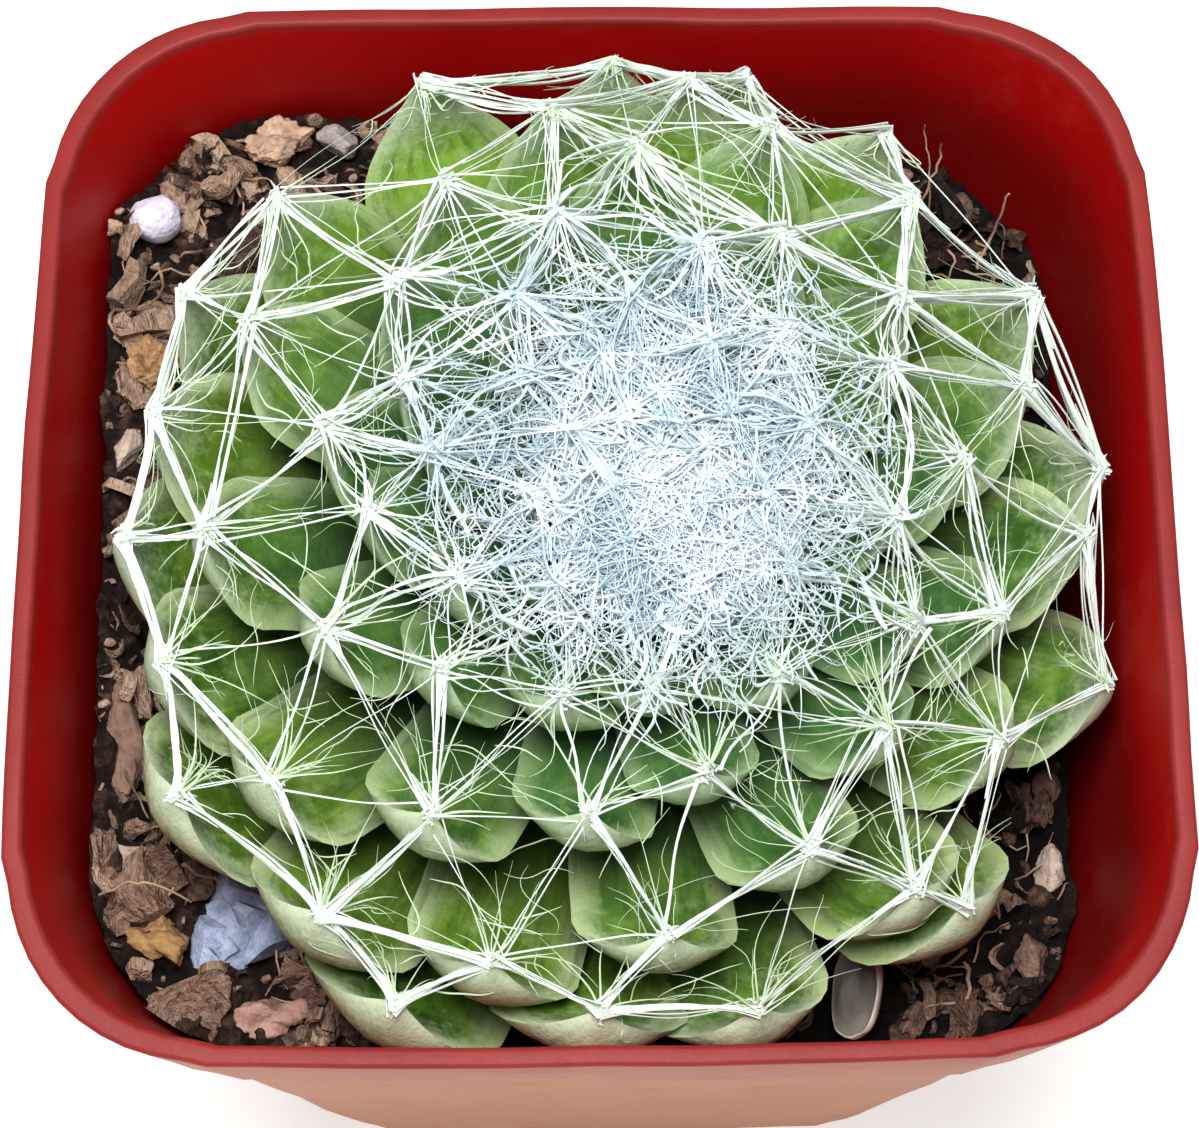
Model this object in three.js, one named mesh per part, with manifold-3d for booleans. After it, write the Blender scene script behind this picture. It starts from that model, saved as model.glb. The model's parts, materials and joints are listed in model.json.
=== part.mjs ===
// A cobweb houseleek (hens and chicks) growing in a small square nursery pot.
// Millimetres, +Z up, the origin at the middle of the pot's underside, the front towards -Y.
import * as THREE from 'three';
import { mergeVertices } from 'three/addons/utils/BufferGeometryUtils.js';
import Module from 'manifold-3d';

const wasm = await Module();
wasm.setup();

// ---------------------------------------------------------------- driving dimensions

const gap = 0.3;                    // what one piece stands clear of its neighbour

const pot = {
  height: 50,
  rimHalf: 28.5,                    // half the width across the flats, outside, at the top
  baseHalf: 20,
  rimCorner: 10,
  baseCorner: 8,
  sideBulge: 0.45,                  // how far the middle of each side bows out
  lip: 1.0,
  lipRound: 0.3,
  collarDepth: 9,
  collarStep: 0.55,                 // how far the collar stands out from the body below it
  floor: 2,
  footWidth: 3,
  footHeight: 0.8,
  footRound: 0.4,
  holeRadius: 1.8,
  holeReach: 10.5,                  // from the middle of the base to each corner hole
};

const soil = {
  middle: 36.2,                     // height of the surface under the plant
  rise: 5.6,                        // how much higher it lies at the left and back walls
  fall: 1.2,                        // how much lower it lies at the right and front walls
  reach: 26,                        // from the middle to the walls at the surface
  level: 0.62,                      // share of the rise that an even surface would have
  leftShare: 0.55,
  backShare: 0.35,
  lump: 0.8,
  pressed: 0.5,                     // clearance under the leaves that lie over it
  pressedReach: 3.2,
  rings: [1, 0.93, 0.86, 0.79, 0.71, 0.6, 0.46, 0.3],
  holeRadius: 3.4,
  holeTop: 34,
  holeFloor: 27,
};

const rosette = {
  centre: [1.5, -1.3, 47.2],
  leanForward: 5.8,                 // degrees
  leanRight: 7.2,
  leaves: 90,
  withered: [0, 2, 3, 4, 7, 8, 10], // the oldest leaves that are gone
  radius: 26.4,
  dome: 9.4,                        // height of the crown above the widest ring of tips
  widestTip: 89,                    // degrees from the crown to the lowest leaf tips
  crowding: 1.09,                   // over 1 crowds the tips towards the crown
  goldenAngle: 137.48,
  startTurn: 108.8,
  apexShift: [0.1, 1.8],            // the crown sits this far right and back of the middle
  // leaves that stand well off the spiral: degrees further down, and further round
  offSpiral: {
    1: [-4, -1], 9: [-9, 0], 11: [-3, 3], 12: [-5, -9], 13: [-3, -4], 15: [-8, -3], 16: [1, 6],
    17: [2, -2], 18: [10, -4], 20: [5, 3], 21: [14, -1], 24: [5, 3], 29: [8, 4], 35: [-3, -2],
    37: [4, 3], 39: [4, 2], 40: [-5, 0], 41: [-1, -4], 43: [-3, 0], 44: [-5, 0], 45: [-4, -1],
    47: [3, 2], 48: [-6, -2], 52: [-1, 5], 53: [-2, -3], 54: [2, -2], 56: [-2, 2], 62: [3, -5],
    64: [3, 3], 66: [3, -2],
  },
  // radius and height of the crown and stem below, round an upright line through the centre
  core: [[0, -19.2], [1.6, -19.2], [2.6, -17.2], [2.6, -11.5], [5.6, -9], [6, -6], [4.6, 0],
    [2.6, 4], [0, 5]],
};

// Pairs give the innermost and the outermost leaf.
const leaf = {
  stations: [0, 0.25, 0.5, 0.7, 0.87, 1],
  width: [3.6, 11.4],
  thickness: [1.7, 3.1],
  rootRadius: [1.2, 5.2],
  rootHeight: [2.2, -8.4],
  rise: [72, -9],                   // degrees over the level at which it leaves the crown
  tipInset: [-10, 24],              // degrees by which the tip leans back in, behind and in front
  footPull: 0.42,                   // shares of its length that shape its bend
  tipPull: 0.36,
  strayAngle: 0.6,
  strayTurn: 0.8,
  strayHeight: 0.35,
  // shares of the half width and half thickness, flat inside and keeled outside
  section: [[1, 0.25], [0, 0.75], [-1, 0.25], [-0.62, -0.72], [0, -1.1], [0.62, -0.72]],
};

const web = {
  strand: 0.36,                     // half the width of a strand
  halfThickness: 0.31,
  standOff: 0.6,                    // least height of the net over the leaf tips
  liftStep: 0.2,
  rounds: 9,
  widestOpening: 17,                // degrees of the crown, past which an opening stays empty
};

// ---------------------------------------------------------------- materials

function finish(color, roughness, metalness = 0) {
  return new THREE.MeshStandardMaterial({ color, roughness, metalness });
}

const finishes = {
  redPlastic: finish(0xa3282b, 0.42),
  pottingMix: finish(0x33241c, 0.95),
  leafGreen: finish(0x7d9a4a, 0.5),
  webWhite: finish(0xeef4f2, 0.8),
  perlite: finish(0xe9e6ee, 0.85),
  greyStone: finish(0x8f97ad, 0.8),
  paleHusk: finish(0xcabfae, 0.6),
  tanBark: finish(0xa07f5c, 0.9),
  darkBark: finish(0x6d4a3a, 0.9),
};

// ---------------------------------------------------------------- small helpers

const radians = THREE.MathUtils.degToRad;
const mix = THREE.MathUtils.lerp;

// A repeatable draw between 0 and 1 for each whole number.
function draw(seed) {
  const value = Math.sin(seed * 12.9898 + 4.1414) * 43758.5453;
  return value - Math.floor(value);
}

function spread(seed, size) {
  return (draw(seed) * 2 - 1) * size;
}

// A closed body from rings of equally many points, each end closed by a fan.
function loft(rings) {
  const count = rings[0].length;
  const points = rings.flat();
  const faces = [];
  for (let r = 0; r + 1 < rings.length; r += 1) {
    for (let i = 0; i < count; i += 1) {
      const next = (i + 1) % count;
      const a = r * count + i;
      const b = r * count + next;
      faces.push(a, b, b + count, a, b + count, a + count);
    }
  }
  const last = (rings.length - 1) * count;
  const [startHub, endHub] = [rings[0], rings.at(-1)].map((ring) => {
    const hub = new THREE.Vector3();
    ring.forEach((point) => hub.add(point));
    return points.push(hub.divideScalar(count)) - 1;
  });
  for (let i = 0; i < count; i += 1) {
    const next = (i + 1) % count;
    faces.push(startHub, next, i, endHub, last + i, last + next);
  }
  const geometry = new THREE.BufferGeometry().setFromPoints(points);
  geometry.setIndex(faces);
  return geometry;
}

function toSolid(geometry) {
  const bare = geometry.clone();
  bare.deleteAttribute('normal');
  bare.deleteAttribute('uv');
  const merged = mergeVertices(bare, 1e-4);
  return new wasm.Manifold(new wasm.Mesh({
    numProp: 3,
    vertProperties: new Float32Array(merged.attributes.position.array),
    triVerts: new Uint32Array(merged.index.array),
  }));
}

function toGeometry(solid) {
  const { vertProperties, triVerts } = solid.getMesh();
  const geometry = new THREE.BufferGeometry();
  geometry.setAttribute('position', new THREE.BufferAttribute(vertProperties, 3));
  geometry.setIndex(new THREE.BufferAttribute(triVerts, 1));
  return geometry;
}

function joined(solids) {
  return wasm.Manifold.union(solids);
}

// The largest body of a solid, without the scraps that a cut leaves.
function mainBody(solid) {
  const bodies = solid.decompose();
  return bodies.reduce((best, body) => (body.volume() > best.volume() ? body : best));
}

const model = new THREE.Group();

function place(name, geometry, material) {
  geometry.computeVertexNormals();
  const mesh = new THREE.Mesh(geometry, material);
  mesh.name = name;
  model.add(mesh);
}

// ---------------------------------------------------------------- pot

const cornerSteps = 6;
const sideSteps = 3;
const boreSides = 12;

// A square ring with round corners and slightly bowed sides, counter-clockwise.
function squareRing(half, corner, z) {
  const ring = [];
  for (let side = 0; side < 4; side += 1) {
    const turn = new THREE.Matrix4().makeRotationZ(side * Math.PI / 2);
    const flat = half - corner;
    const bow = (y) => pot.sideBulge * (1 - (y / half) ** 2);
    for (let i = 0; i < sideSteps; i += 1) {
      const y = mix(-flat, flat, i / sideSteps);
      ring.push(new THREE.Vector3(half + bow(y), y, z).applyMatrix4(turn));
    }
    for (let i = 0; i < cornerSteps; i += 1) {
      const angle = i / cornerSteps * Math.PI / 2;
      const y = flat + corner * Math.sin(angle);
      const x = flat + corner * Math.cos(angle);
      const outward = bow(flat) * (1 - i / cornerSteps);
      const forward = bow(flat) * (i / cornerSteps);
      ring.push(new THREE.Vector3(x + outward, y + forward, z).applyMatrix4(turn));
    }
  }
  return ring;
}

function cornerAt(z) {
  return mix(pot.baseCorner, pot.rimCorner, z / pot.height);
}

function innerHalfAt(z) {
  return mix(pot.baseHalf - pot.lip, pot.rimHalf - pot.lip, z / pot.height);
}

// The inner wall at a height, drawn in by a margin.
function innerRing(z, margin) {
  return squareRing(innerHalfAt(z) - margin, cornerAt(z) - pot.lip - margin, z);
}

function makePot() {
  const collarFoot = pot.height - pot.collarDepth;
  const slope = (pot.rimHalf - pot.baseHalf) / pot.height;
  const outerHalf = (z) => pot.baseHalf + slope * z;
  const outer = (z, inset) => squareRing(outerHalf(z) - inset, cornerAt(z) - inset, z);
  const foot = (inset, z) => squareRing(pot.baseHalf - inset, pot.baseCorner - inset, z);
  const top = pot.height;
  const round = pot.lipRound;
  const rings = [
    foot(pot.footWidth + pot.footHeight, pot.footHeight),
    foot(pot.footWidth, 0),
    foot(pot.footRound, 0),
    outer(pot.footRound, 0),
    outer(collarFoot, pot.collarStep),
    outer(collarFoot + pot.collarStep, 0),
    outer(top - round, 0),
    outer(top, round),
    innerRing(top, -round),
    innerRing(top - round, 0),
    innerRing(pot.floor, 0),
  ];
  let body = toSolid(loft(rings));
  const reach = pot.holeReach;
  const places = [[0, 0], [reach, reach], [-reach, reach], [-reach, -reach], [reach, -reach]];
  for (const [x, y] of places) {
    const bore = new THREE.CylinderGeometry(pot.holeRadius, pot.holeRadius, 4 * pot.floor, boreSides);
    bore.rotateX(Math.PI / 2);
    bore.translate(x, y, pot.floor);
    body = body.subtract(toSolid(bore));
  }
  return body;
}

// ---------------------------------------------------------------- rosette

const lean = new THREE.Matrix4().makeRotationY(radians(rosette.leanRight))
  .multiply(new THREE.Matrix4().makeRotationX(radians(rosette.leanForward)))
  .setPosition(...rosette.centre);

// Where leaf n stands: 0 is the lowest outer leaf, the last one stands in the crown.
function leafPlan(n) {
  const share = ((rosette.leaves - n - 0.5) / rosette.leaves) ** rosette.crowding;
  const [down, round] = rosette.offSpiral[n] ?? [0, 0];
  const polar = radians(share * rosette.widestTip + down + spread(n, leaf.strayAngle));
  const turn = radians(
    rosette.startTurn + n * rosette.goldenAngle + round + spread(n + 200, leaf.strayTurn),
  );
  const tip = new THREE.Vector2(
    rosette.radius * Math.sin(polar),
    rosette.dome * Math.cos(polar) + spread(n + 400, leaf.strayHeight),
  );
  const root = new THREE.Vector2(
    mix(...leaf.rootRadius, share),
    mix(...leaf.rootHeight, share ** 1.2),
  );
  const length = tip.distanceTo(root);
  const rise = radians(mix(...leaf.rise, share));
  const forward = THREE.MathUtils.smoothstep(-Math.sin(turn), -0.3, 0.9);
  const inset = radians(mix(...leaf.tipInset, forward));
  const curve = new THREE.CubicBezierCurve(
    root,
    new THREE.Vector2(Math.cos(rise), Math.sin(rise))
      .multiplyScalar(leaf.footPull * length).add(root),
    new THREE.Vector2(Math.sin(inset), -Math.cos(inset))
      .multiplyScalar(leaf.tipPull * length).add(tip),
    tip,
  );
  return { share, polar, turn, curve };
}

// A leaf's own middle plane, set up at its turn round the leaning axis.
function leafFrame(plan) {
  const [right, back] = rosette.apexShift.map((shift) => shift * (1 - plan.share ** 2));
  return lean.clone()
    .multiply(new THREE.Matrix4().makeTranslation(right, back, 0))
    .multiply(new THREE.Matrix4().makeRotationZ(plan.turn));
}

// Half the width along a leaf: narrow at its foot, widest past the middle, pointed.
function widthAlong(t) {
  return (0.42 + 0.58 * Math.sin(Math.PI * t / 1.24) ** 1.3) * (1 - t ** 7);
}

function thicknessAlong(t) {
  return 0.55 + 0.45 * Math.sin(Math.PI * t) - 0.42 * t ** 3;
}

// A thick leaf. A margin makes it larger all round.
function leafGeometry(plan, margin = 0) {
  const width = mix(...leaf.width, plan.share) / 2;
  const thickness = mix(...leaf.thickness, plan.share) / 2;
  const rings = leaf.stations.map((t) => {
    const along = plan.curve.getTangent(t);
    const middle = plan.curve.getPoint(t).addScaledVector(along, t === 1 ? margin : 0);
    const w = width * widthAlong(t) + margin;
    const h = thickness * thicknessAlong(t) + margin;
    return leaf.section.map(([across, over]) => new THREE.Vector3(
      middle.x - along.y * over * h,
      across * w,
      middle.y + along.x * over * h,
    ));
  });
  return loft(rings).applyMatrix4(leafFrame(plan));
}

const plans = Array.from({ length: rosette.leaves }, (_, n) => n)
  .filter((n) => !rosette.withered.includes(n))
  .map(leafPlan);

// The space that the leaves need, with their clearance: soil and net stay out of it.
const leafRoom = joined(plans.map((plan) => toSolid(leafGeometry(plan, gap))));

function makeCore() {
  const profile = rosette.core.map(([radius, height]) => new THREE.Vector2(radius, height));
  return new THREE.LatheGeometry(profile, 12).rotateX(Math.PI / 2).translate(...rosette.centre);
}

function makeRosette() {
  return joined([toSolid(makeCore()), ...plans.map((plan) => toSolid(leafGeometry(plan)))]);
}

// ---------------------------------------------------------------- cobweb

// A point over leaf n's tip, and the way out of the crown there.
function overTip(n, height) {
  const plan = plans[n];
  const tip = plan.curve.getPoint(1);
  const away = new THREE.Vector2(tip.x / rosette.radius ** 2, tip.y / rosette.dome ** 2);
  const frame = leafFrame(plan);
  const point = tip.addScaledVector(away.normalize(), height);
  return {
    point: new THREE.Vector3(point.x, 0, point.y).applyMatrix4(frame),
    out: new THREE.Vector3(away.x, 0, away.y).transformDirection(frame),
  };
}

function strandGeometry(from, to) {
  const axis = to.clone().sub(from);
  const rod = new THREE.CylinderGeometry(web.strand, web.strand, axis.length(), 4);
  const upright = new THREE.Vector3(0, 1, 0);
  rod.applyQuaternion(new THREE.Quaternion().setFromUnitVectors(upright, axis.normalize()));
  return rod.translate(...from.clone().lerp(to, 0.5));
}

// The crown laid out flat: each tip by its angle from the crown and its turn round it.
function flatTips() {
  return plans.map(({ polar, turn }) => new THREE.Vector2(
    THREE.MathUtils.radToDeg(polar) * Math.cos(turn),
    THREE.MathUtils.radToDeg(polar) * Math.sin(turn),
  ));
}

// Three tips make one opening of the net when no fourth lies in the circle through them.
function netOpenings() {
  const tips = flatTips();
  const openings = [];
  for (let a = 0; a < tips.length; a += 1) {
    for (let b = 0; b < tips.length; b += 1) {
      for (let c = Math.max(a, b) + 1; c < tips.length; c += 1) {
        if (a !== b && opensBetween(tips, a, b, c)) {
          openings.push([a, b, c]);
        }
      }
    }
  }
  return openings;
}

function opensBetween(tips, a, b, c) {
  const ab = tips[b].clone().sub(tips[a]);
  const ac = tips[c].clone().sub(tips[a]);
  const cross = ab.cross(ac);
  if (cross <= 0) {
    return false;
  }
  const centre = new THREE.Vector2(
    ac.y * ab.lengthSq() - ab.y * ac.lengthSq(),
    ab.x * ac.lengthSq() - ac.x * ab.lengthSq(),
  ).divideScalar(2 * cross);
  const reach = centre.length();
  centre.add(tips[a]);
  return reach < web.widestOpening
    && tips.every((tip, n) => n === a || n === b || n === c || tip.distanceTo(centre) > reach);
}

// Each tip's end of the net is raised until all the strands that meet there clear the leaves.
function raisedEnds(openings) {
  const lifts = plans.map(() => web.standOff);
  const edges = openings.flatMap(([a, b, c]) => [[a, b], [b, c], [c, a]]);
  const point = (n) => overTip(n, lifts[n]).point;
  for (let round = 0; round < web.rounds; round += 1) {
    for (const [a, b] of edges) {
      if (!toSolid(strandGeometry(point(a), point(b))).intersect(leafRoom).isEmpty()) {
        lifts[a] += web.liftStep;
        lifts[b] += web.liftStep;
      }
    }
  }
  return plans.map((_, n) => overTip(n, lifts[n]));
}

// The corners of an opening, drawn in from its three strands.
function drawnIn(corners, inset) {
  const sides = corners.map((corner, i) => corner.distanceTo(corners[(i + 1) % 3]));
  const around = sides[0] + sides[1] + sides[2];
  const middle = new THREE.Vector3();
  corners.forEach((corner, i) => middle.addScaledVector(corner, sides[(i + 1) % 3] / around));
  const [ab, ac] = [1, 2].map((i) => corners[i].clone().sub(corners[0]));
  const inner = ab.cross(ac).length() / around;
  return corners.map((corner) => corner.clone().lerp(middle, Math.min(0.85, inset / inner)));
}

// A closed net: flat strands round each opening, with the thickness of a strand.
function makeCobweb() {
  const openings = netOpenings();
  const ends = raisedEnds(openings);
  const half = web.halfThickness;
  const points = ends.flatMap((end) => [half, -half].map((step) => (
    end.point.clone().addScaledVector(end.out, step))));
  const faces = [];
  const quad = (a, b, c, d) => faces.push(a, b, c, a, c, d);
  const used = new Set(openings.flatMap(([a, b, c]) => [`${a},${b}`, `${b},${c}`, `${c},${a}`]));
  for (const opening of openings) {
    const corners = opening.map((n) => ends[n].point);
    const [ab, ac] = [1, 2].map((i) => corners[i].clone().sub(corners[0]));
    const out = ab.cross(ac).normalize();
    const first = points.length;
    for (const corner of drawnIn(corners, web.strand)) {
      points.push(corner.clone().addScaledVector(out, half));
      points.push(corner.clone().addScaledVector(out, -half));
    }
    opening.forEach((from, i) => {
      const to = opening[(i + 1) % 3];
      const inFrom = first + 2 * i;
      const inTo = first + 2 * ((i + 1) % 3);
      quad(2 * from, 2 * to, inTo, inFrom);
      quad(2 * from + 1, inFrom + 1, inTo + 1, 2 * to + 1);
      quad(inFrom, inTo, inTo + 1, inFrom + 1);
      if (!used.has(`${to},${from}`)) {
        quad(2 * from + 1, 2 * to + 1, 2 * to, 2 * from);
      }
    });
  }
  const net = new THREE.BufferGeometry().setFromPoints(points);
  net.setIndex(faces);
  return mainBody(toSolid(net));
}

// ---------------------------------------------------------------- loose pieces on the soil

// Places across and back, half-sizes and turns in degrees.
const loosePieces = [
  { name: 'perlite_grain', at: [-23.9, 19.4], size: [1.25, 1.2, 1.15], turn: 10, look: 'perlite' },
  { name: 'stone_chip', at: [-18.4, -18.9], size: [2.6, 1.9, 1.5], turn: 65, look: 'greyStone' },
  { name: 'seed_husk', at: [12.8, -21.6], size: [1.5, 2.2, 0.9], turn: -8, look: 'paleHusk' },
  { name: 'tan_crumb', at: [-17.1, 24.5], size: [1.3, 0.9, 0.9], turn: 15, look: 'tanBark' },
  { name: 'back_chip', at: [-13.9, 24.7], size: [1.3, 0.8, 0.7], turn: -20, look: 'greyStone' },
  { name: 'golden_crumb', at: [-23.7, 11.2], size: [1.0, 1.2, 0.9], turn: 30, look: 'tanBark' },
  { name: 'pale_chip', at: [-24.9, 6.1], size: [0.7, 1.4, 0.6], turn: -20, look: 'paleHusk' },
  { name: 'bark_chip_left', at: [-23.8, -9.6], size: [1.3, 2.4, 1.0], turn: 12, look: 'darkBark' },
  { name: 'twig', at: [-23.6, -15.4], size: [1.5, 0.4, 0.4], turn: -25, look: 'paleHusk' },
  { name: 'bark_chip_low', at: [-22.4, -19.7], size: [1.6, 1.0, 0.8], turn: -25, look: 'tanBark' },
  { name: 'bark_chip_corner', at: [-16.8, -23.4], size: [1.7, 0.9, 0.8], turn: 10, look: 'darkBark' },
  { name: 'pink_pebble', at: [-5.8, -24.2], size: [0.6, 0.5, 0.45], turn: 0, look: 'tanBark' },
  { name: 'grey_pebble', at: [17.4, -19.4], size: [1.1, 0.9, 0.8], turn: 0, look: 'greyStone' },
  { name: 'bark_chip_right', at: [22.3, -19.6], size: [0.9, 1.3, 0.8], turn: 15, look: 'darkBark' },
  { name: 'bark_chip_edge', at: [23.5, -14.9], size: [0.8, 1.2, 0.6], turn: -15, look: 'tanBark' },
  { name: 'edge_pebble', at: [23.6, -10.4], size: [0.7, 0.8, 0.6], turn: 0, look: 'darkBark' },
];

const chipFaceReach = 0.79;         // how far an icosahedron's faces lie out, next to its corners

// Height of the open soil: high along the left and back walls, low at the right and front.
function openSoil(x, y) {
  const left = THREE.MathUtils.clamp(-x / soil.reach, -1, 1);
  const back = THREE.MathUtils.clamp(y / soil.reach, -1, 1);
  const edge = Math.min(1, Math.max(Math.abs(x), Math.abs(y)) / soil.reach) ** 2;
  const side = Math.max(0, soil.level + soil.leftShare * left + soil.backShare * back);
  return soil.middle + edge * (soil.rise * side - soil.fall * (1 - side));
}

// A rough stone or chip: an icosahedron with its corners pushed in and out.
function chipGeometry(piece, seed, margin = 0) {
  const stone = new THREE.IcosahedronGeometry(1, 0);
  const position = stone.attributes.position;
  const corner = new THREE.Vector3();
  for (let i = 0; i < position.count; i += 1) {
    corner.fromBufferAttribute(position, i);
    const key = Math.round(corner.x * 31 + corner.y * 17 + corner.z * 7 + seed * 3.7);
    const stretch = 1 + spread(key, 0.16);
    const reach = piece.size.map((half) => half * stretch + margin);
    position.setXYZ(i, corner.x * reach[0], corner.y * reach[1], corner.z * reach[2]);
  }
  const [x, y] = piece.at;
  stone.rotateZ(radians(piece.turn));
  return stone.translate(x, y, openSoil(x, y) + piece.size[2] * 0.35);
}

// ---------------------------------------------------------------- soil

// Under each leaf the soil is pressed down, so that the leaf lies just over it.
function pressedSoil(x, y, leafPoints) {
  const lumps = spread(Math.round(x * 13 + y * 29), soil.lump);
  let height = openSoil(x, y) + lumps;
  for (const point of leafPoints) {
    if (Math.hypot(point.x - x, point.y - y) < soil.pressedReach) {
      height = Math.min(height, point.z - soil.pressed);
    }
  }
  return height;
}

function makeSoil() {
  const leafPoints = plans.flatMap((plan) => {
    const position = leafGeometry(plan).attributes.position;
    return Array.from({ length: position.count },
      (_, i) => new THREE.Vector3().fromBufferAttribute(position, i));
  });
  const [cx, cy] = rosette.centre;
  const floor = pot.floor + gap;
  const wall = innerRing(soil.middle + soil.rise, gap);
  const tops = wall.map((edge) => pressedSoil(edge.x, edge.y, leafPoints));
  const atWall = tops.map((z, i) => innerRing(z, gap)[i]);
  const rings = [innerRing(floor, gap), atWall];
  for (const share of soil.rings.slice(1)) {
    rings.push(atWall.map((edge) => {
      const x = mix(cx, edge.x, share);
      const y = mix(cy, edge.y, share);
      return new THREE.Vector3(x, y, pressedSoil(x, y, leafPoints));
    }));
  }
  const hole = (z) => atWall.map((edge) => {
    const way = new THREE.Vector2(edge.x - cx, edge.y - cy).setLength(soil.holeRadius);
    return new THREE.Vector3(cx + way.x, cy + way.y, z);
  });
  rings.push(hole(soil.holeTop), hole(soil.holeFloor));
  let body = toSolid(loft(rings));
  loosePieces.forEach((piece, seed) => {
    body = body.subtract(toSolid(chipGeometry(piece, seed, gap / chipFaceReach)));
  });
  return mainBody(body.subtract(leafRoom));
}

// ---------------------------------------------------------------- the whole plant

place('pot', toGeometry(makePot()), finishes.redPlastic);
place('soil', toGeometry(makeSoil()), finishes.pottingMix);
place('rosette', toGeometry(makeRosette()), finishes.leafGreen);
place('cobweb', toGeometry(makeCobweb()), finishes.webWhite);
loosePieces.forEach((piece, seed) => {
  place(piece.name, toGeometry(toSolid(chipGeometry(piece, seed))), finishes[piece.look]);
});

export default model;
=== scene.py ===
import json
import math

import bpy
import numpy as np
from mathutils import Matrix, Vector, noise
from mathutils.bvhtree import BVHTree
from mathutils.geometry import delaunay_2d_cdt

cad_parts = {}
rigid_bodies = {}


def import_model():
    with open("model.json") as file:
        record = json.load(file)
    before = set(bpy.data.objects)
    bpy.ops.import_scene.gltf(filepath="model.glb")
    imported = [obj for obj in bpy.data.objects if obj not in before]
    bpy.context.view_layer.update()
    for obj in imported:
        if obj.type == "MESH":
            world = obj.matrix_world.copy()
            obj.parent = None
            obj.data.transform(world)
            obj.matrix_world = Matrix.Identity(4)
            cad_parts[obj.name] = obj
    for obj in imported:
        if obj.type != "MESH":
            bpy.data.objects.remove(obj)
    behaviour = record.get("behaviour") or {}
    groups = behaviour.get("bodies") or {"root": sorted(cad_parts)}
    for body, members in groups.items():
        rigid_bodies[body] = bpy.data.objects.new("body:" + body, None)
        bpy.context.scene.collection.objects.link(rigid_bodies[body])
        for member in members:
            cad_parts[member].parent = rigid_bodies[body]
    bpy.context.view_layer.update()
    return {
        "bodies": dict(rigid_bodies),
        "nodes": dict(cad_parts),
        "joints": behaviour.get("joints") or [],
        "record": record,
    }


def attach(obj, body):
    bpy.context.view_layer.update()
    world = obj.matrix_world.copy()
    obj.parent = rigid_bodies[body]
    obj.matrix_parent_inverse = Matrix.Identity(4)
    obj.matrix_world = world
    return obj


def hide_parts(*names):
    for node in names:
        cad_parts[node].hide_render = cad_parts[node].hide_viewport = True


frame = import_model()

mm = 0.001


class Link:
    # A socket that takes part in shader maths as a plain value does.
    def __init__(self, shader, socket):
        self.shader = shader
        self.socket = socket

    def maths(self, operation, first, second=0.0):
        return self.shader.node("Math", {"operation": operation}, {0: first, 1: second})

    def __add__(self, other):
        return self.maths("ADD", self, other)

    def __radd__(self, other):
        return self.maths("ADD", other, self)

    def __sub__(self, other):
        return self.maths("SUBTRACT", self, other)

    def __rsub__(self, other):
        return self.maths("SUBTRACT", other, self)

    def __mul__(self, other):
        return self.maths("MULTIPLY", self, other)

    def __rmul__(self, other):
        return self.maths("MULTIPLY", other, self)

    def __truediv__(self, other):
        return self.maths("DIVIDE", self, other)

    def __pow__(self, other):
        return self.maths("POWER", self, other)

    def between(self, low, high):
        # 0 at low, 1 at high, and held there beyond them
        return self.shader.node("MapRange", {"interpolation_type": "SMOOTHSTEP"},
                                {"Value": self, "From Min": low, "From Max": high})


class Shader:
    def __init__(self, name):
        self.material = bpy.data.materials.new(name)
        self.material.use_nodes = True
        self.tree = self.material.node_tree
        self.tree.nodes.clear()
        self.place = self.node("TexCoord", output="Object")

    def node(self, kind, settings=None, sockets=None, output=0):
        made = self.tree.nodes.new("ShaderNode" + kind)
        for name, value in (settings or {}).items():
            if name == "stops":
                ramp = made.color_ramp
                while len(ramp.elements) < len(value):
                    ramp.elements.new(0.5)
                for stop, (position, colour) in zip(ramp.elements, value):
                    stop.position = position
                    stop.color = colour
            else:
                setattr(made, name, value)
        for name, value in (sockets or {}).items():
            if isinstance(value, Link):
                self.tree.links.new(value.socket, made.inputs[name])
            else:
                made.inputs[name].default_value = value
        return Link(self, made.outputs[output]) if made.outputs else None

    def noise(self, size, detail=3.0, roughness=0.55, place=None):
        # size is the width of one blotch in mm
        return self.node("TexNoise", {}, {"Vector": place or self.place, "Scale": 1 / (size * mm),
                                          "Detail": detail, "Roughness": roughness})

    def cells(self, size, output="Distance", feature="F1"):
        return self.node("TexVoronoi", {"feature": feature},
                         {"Vector": self.place, "Scale": 1 / (size * mm)}, output)

    def stretched(self, x, y, z):
        return self.node("VectorMath", {"operation": "MULTIPLY"}, {0: self.place, 1: (x, y, z)})

    def coordinate(self, axis):
        # Where a point lies along an axis, in mm
        return self.node("SeparateXYZ", {}, {"Vector": self.place}, axis) / mm

    def distance(self, place):
        # How far a point lies from a place, both in mm
        middle = tuple(value * mm for value in place)
        return self.node("VectorMath", {"operation": "DISTANCE"},
                         {0: self.place, 1: middle}, "Value") / mm

    def attribute(self, name):
        return self.node("Attribute", {"attribute_name": name}, output="Fac")

    def mix(self, share, first, second, blend="MIX"):
        return self.node("Mix", {"data_type": "RGBA", "blend_type": blend},
                         {0: share, 6: first, 7: second}, 2)

    def ramp(self, value, *stops):
        return self.node("ValToRGB", {"stops": stops}, {"Fac": value})

    def bump(self, height, depth, strength=1.0):
        # depth in mm
        return self.node("Bump", {}, {"Height": height, "Distance": depth * mm,
                                      "Strength": strength})

    def finish(self, sockets):
        surface = self.node("BsdfPrincipled", {}, sockets)
        self.node("OutputMaterial", {}, {"Surface": surface})
        return self.material


def paint(red, green, blue):
    # A colour as it looks on a screen, 0 to 255, in the linear values that a shader takes
    def linear(value):
        value = value / 255
        return value / 12.92 if value <= 0.04045 else ((value + 0.055) / 1.055) ** 2.4
    return (linear(red), linear(green), linear(blue), 1.0)


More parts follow.
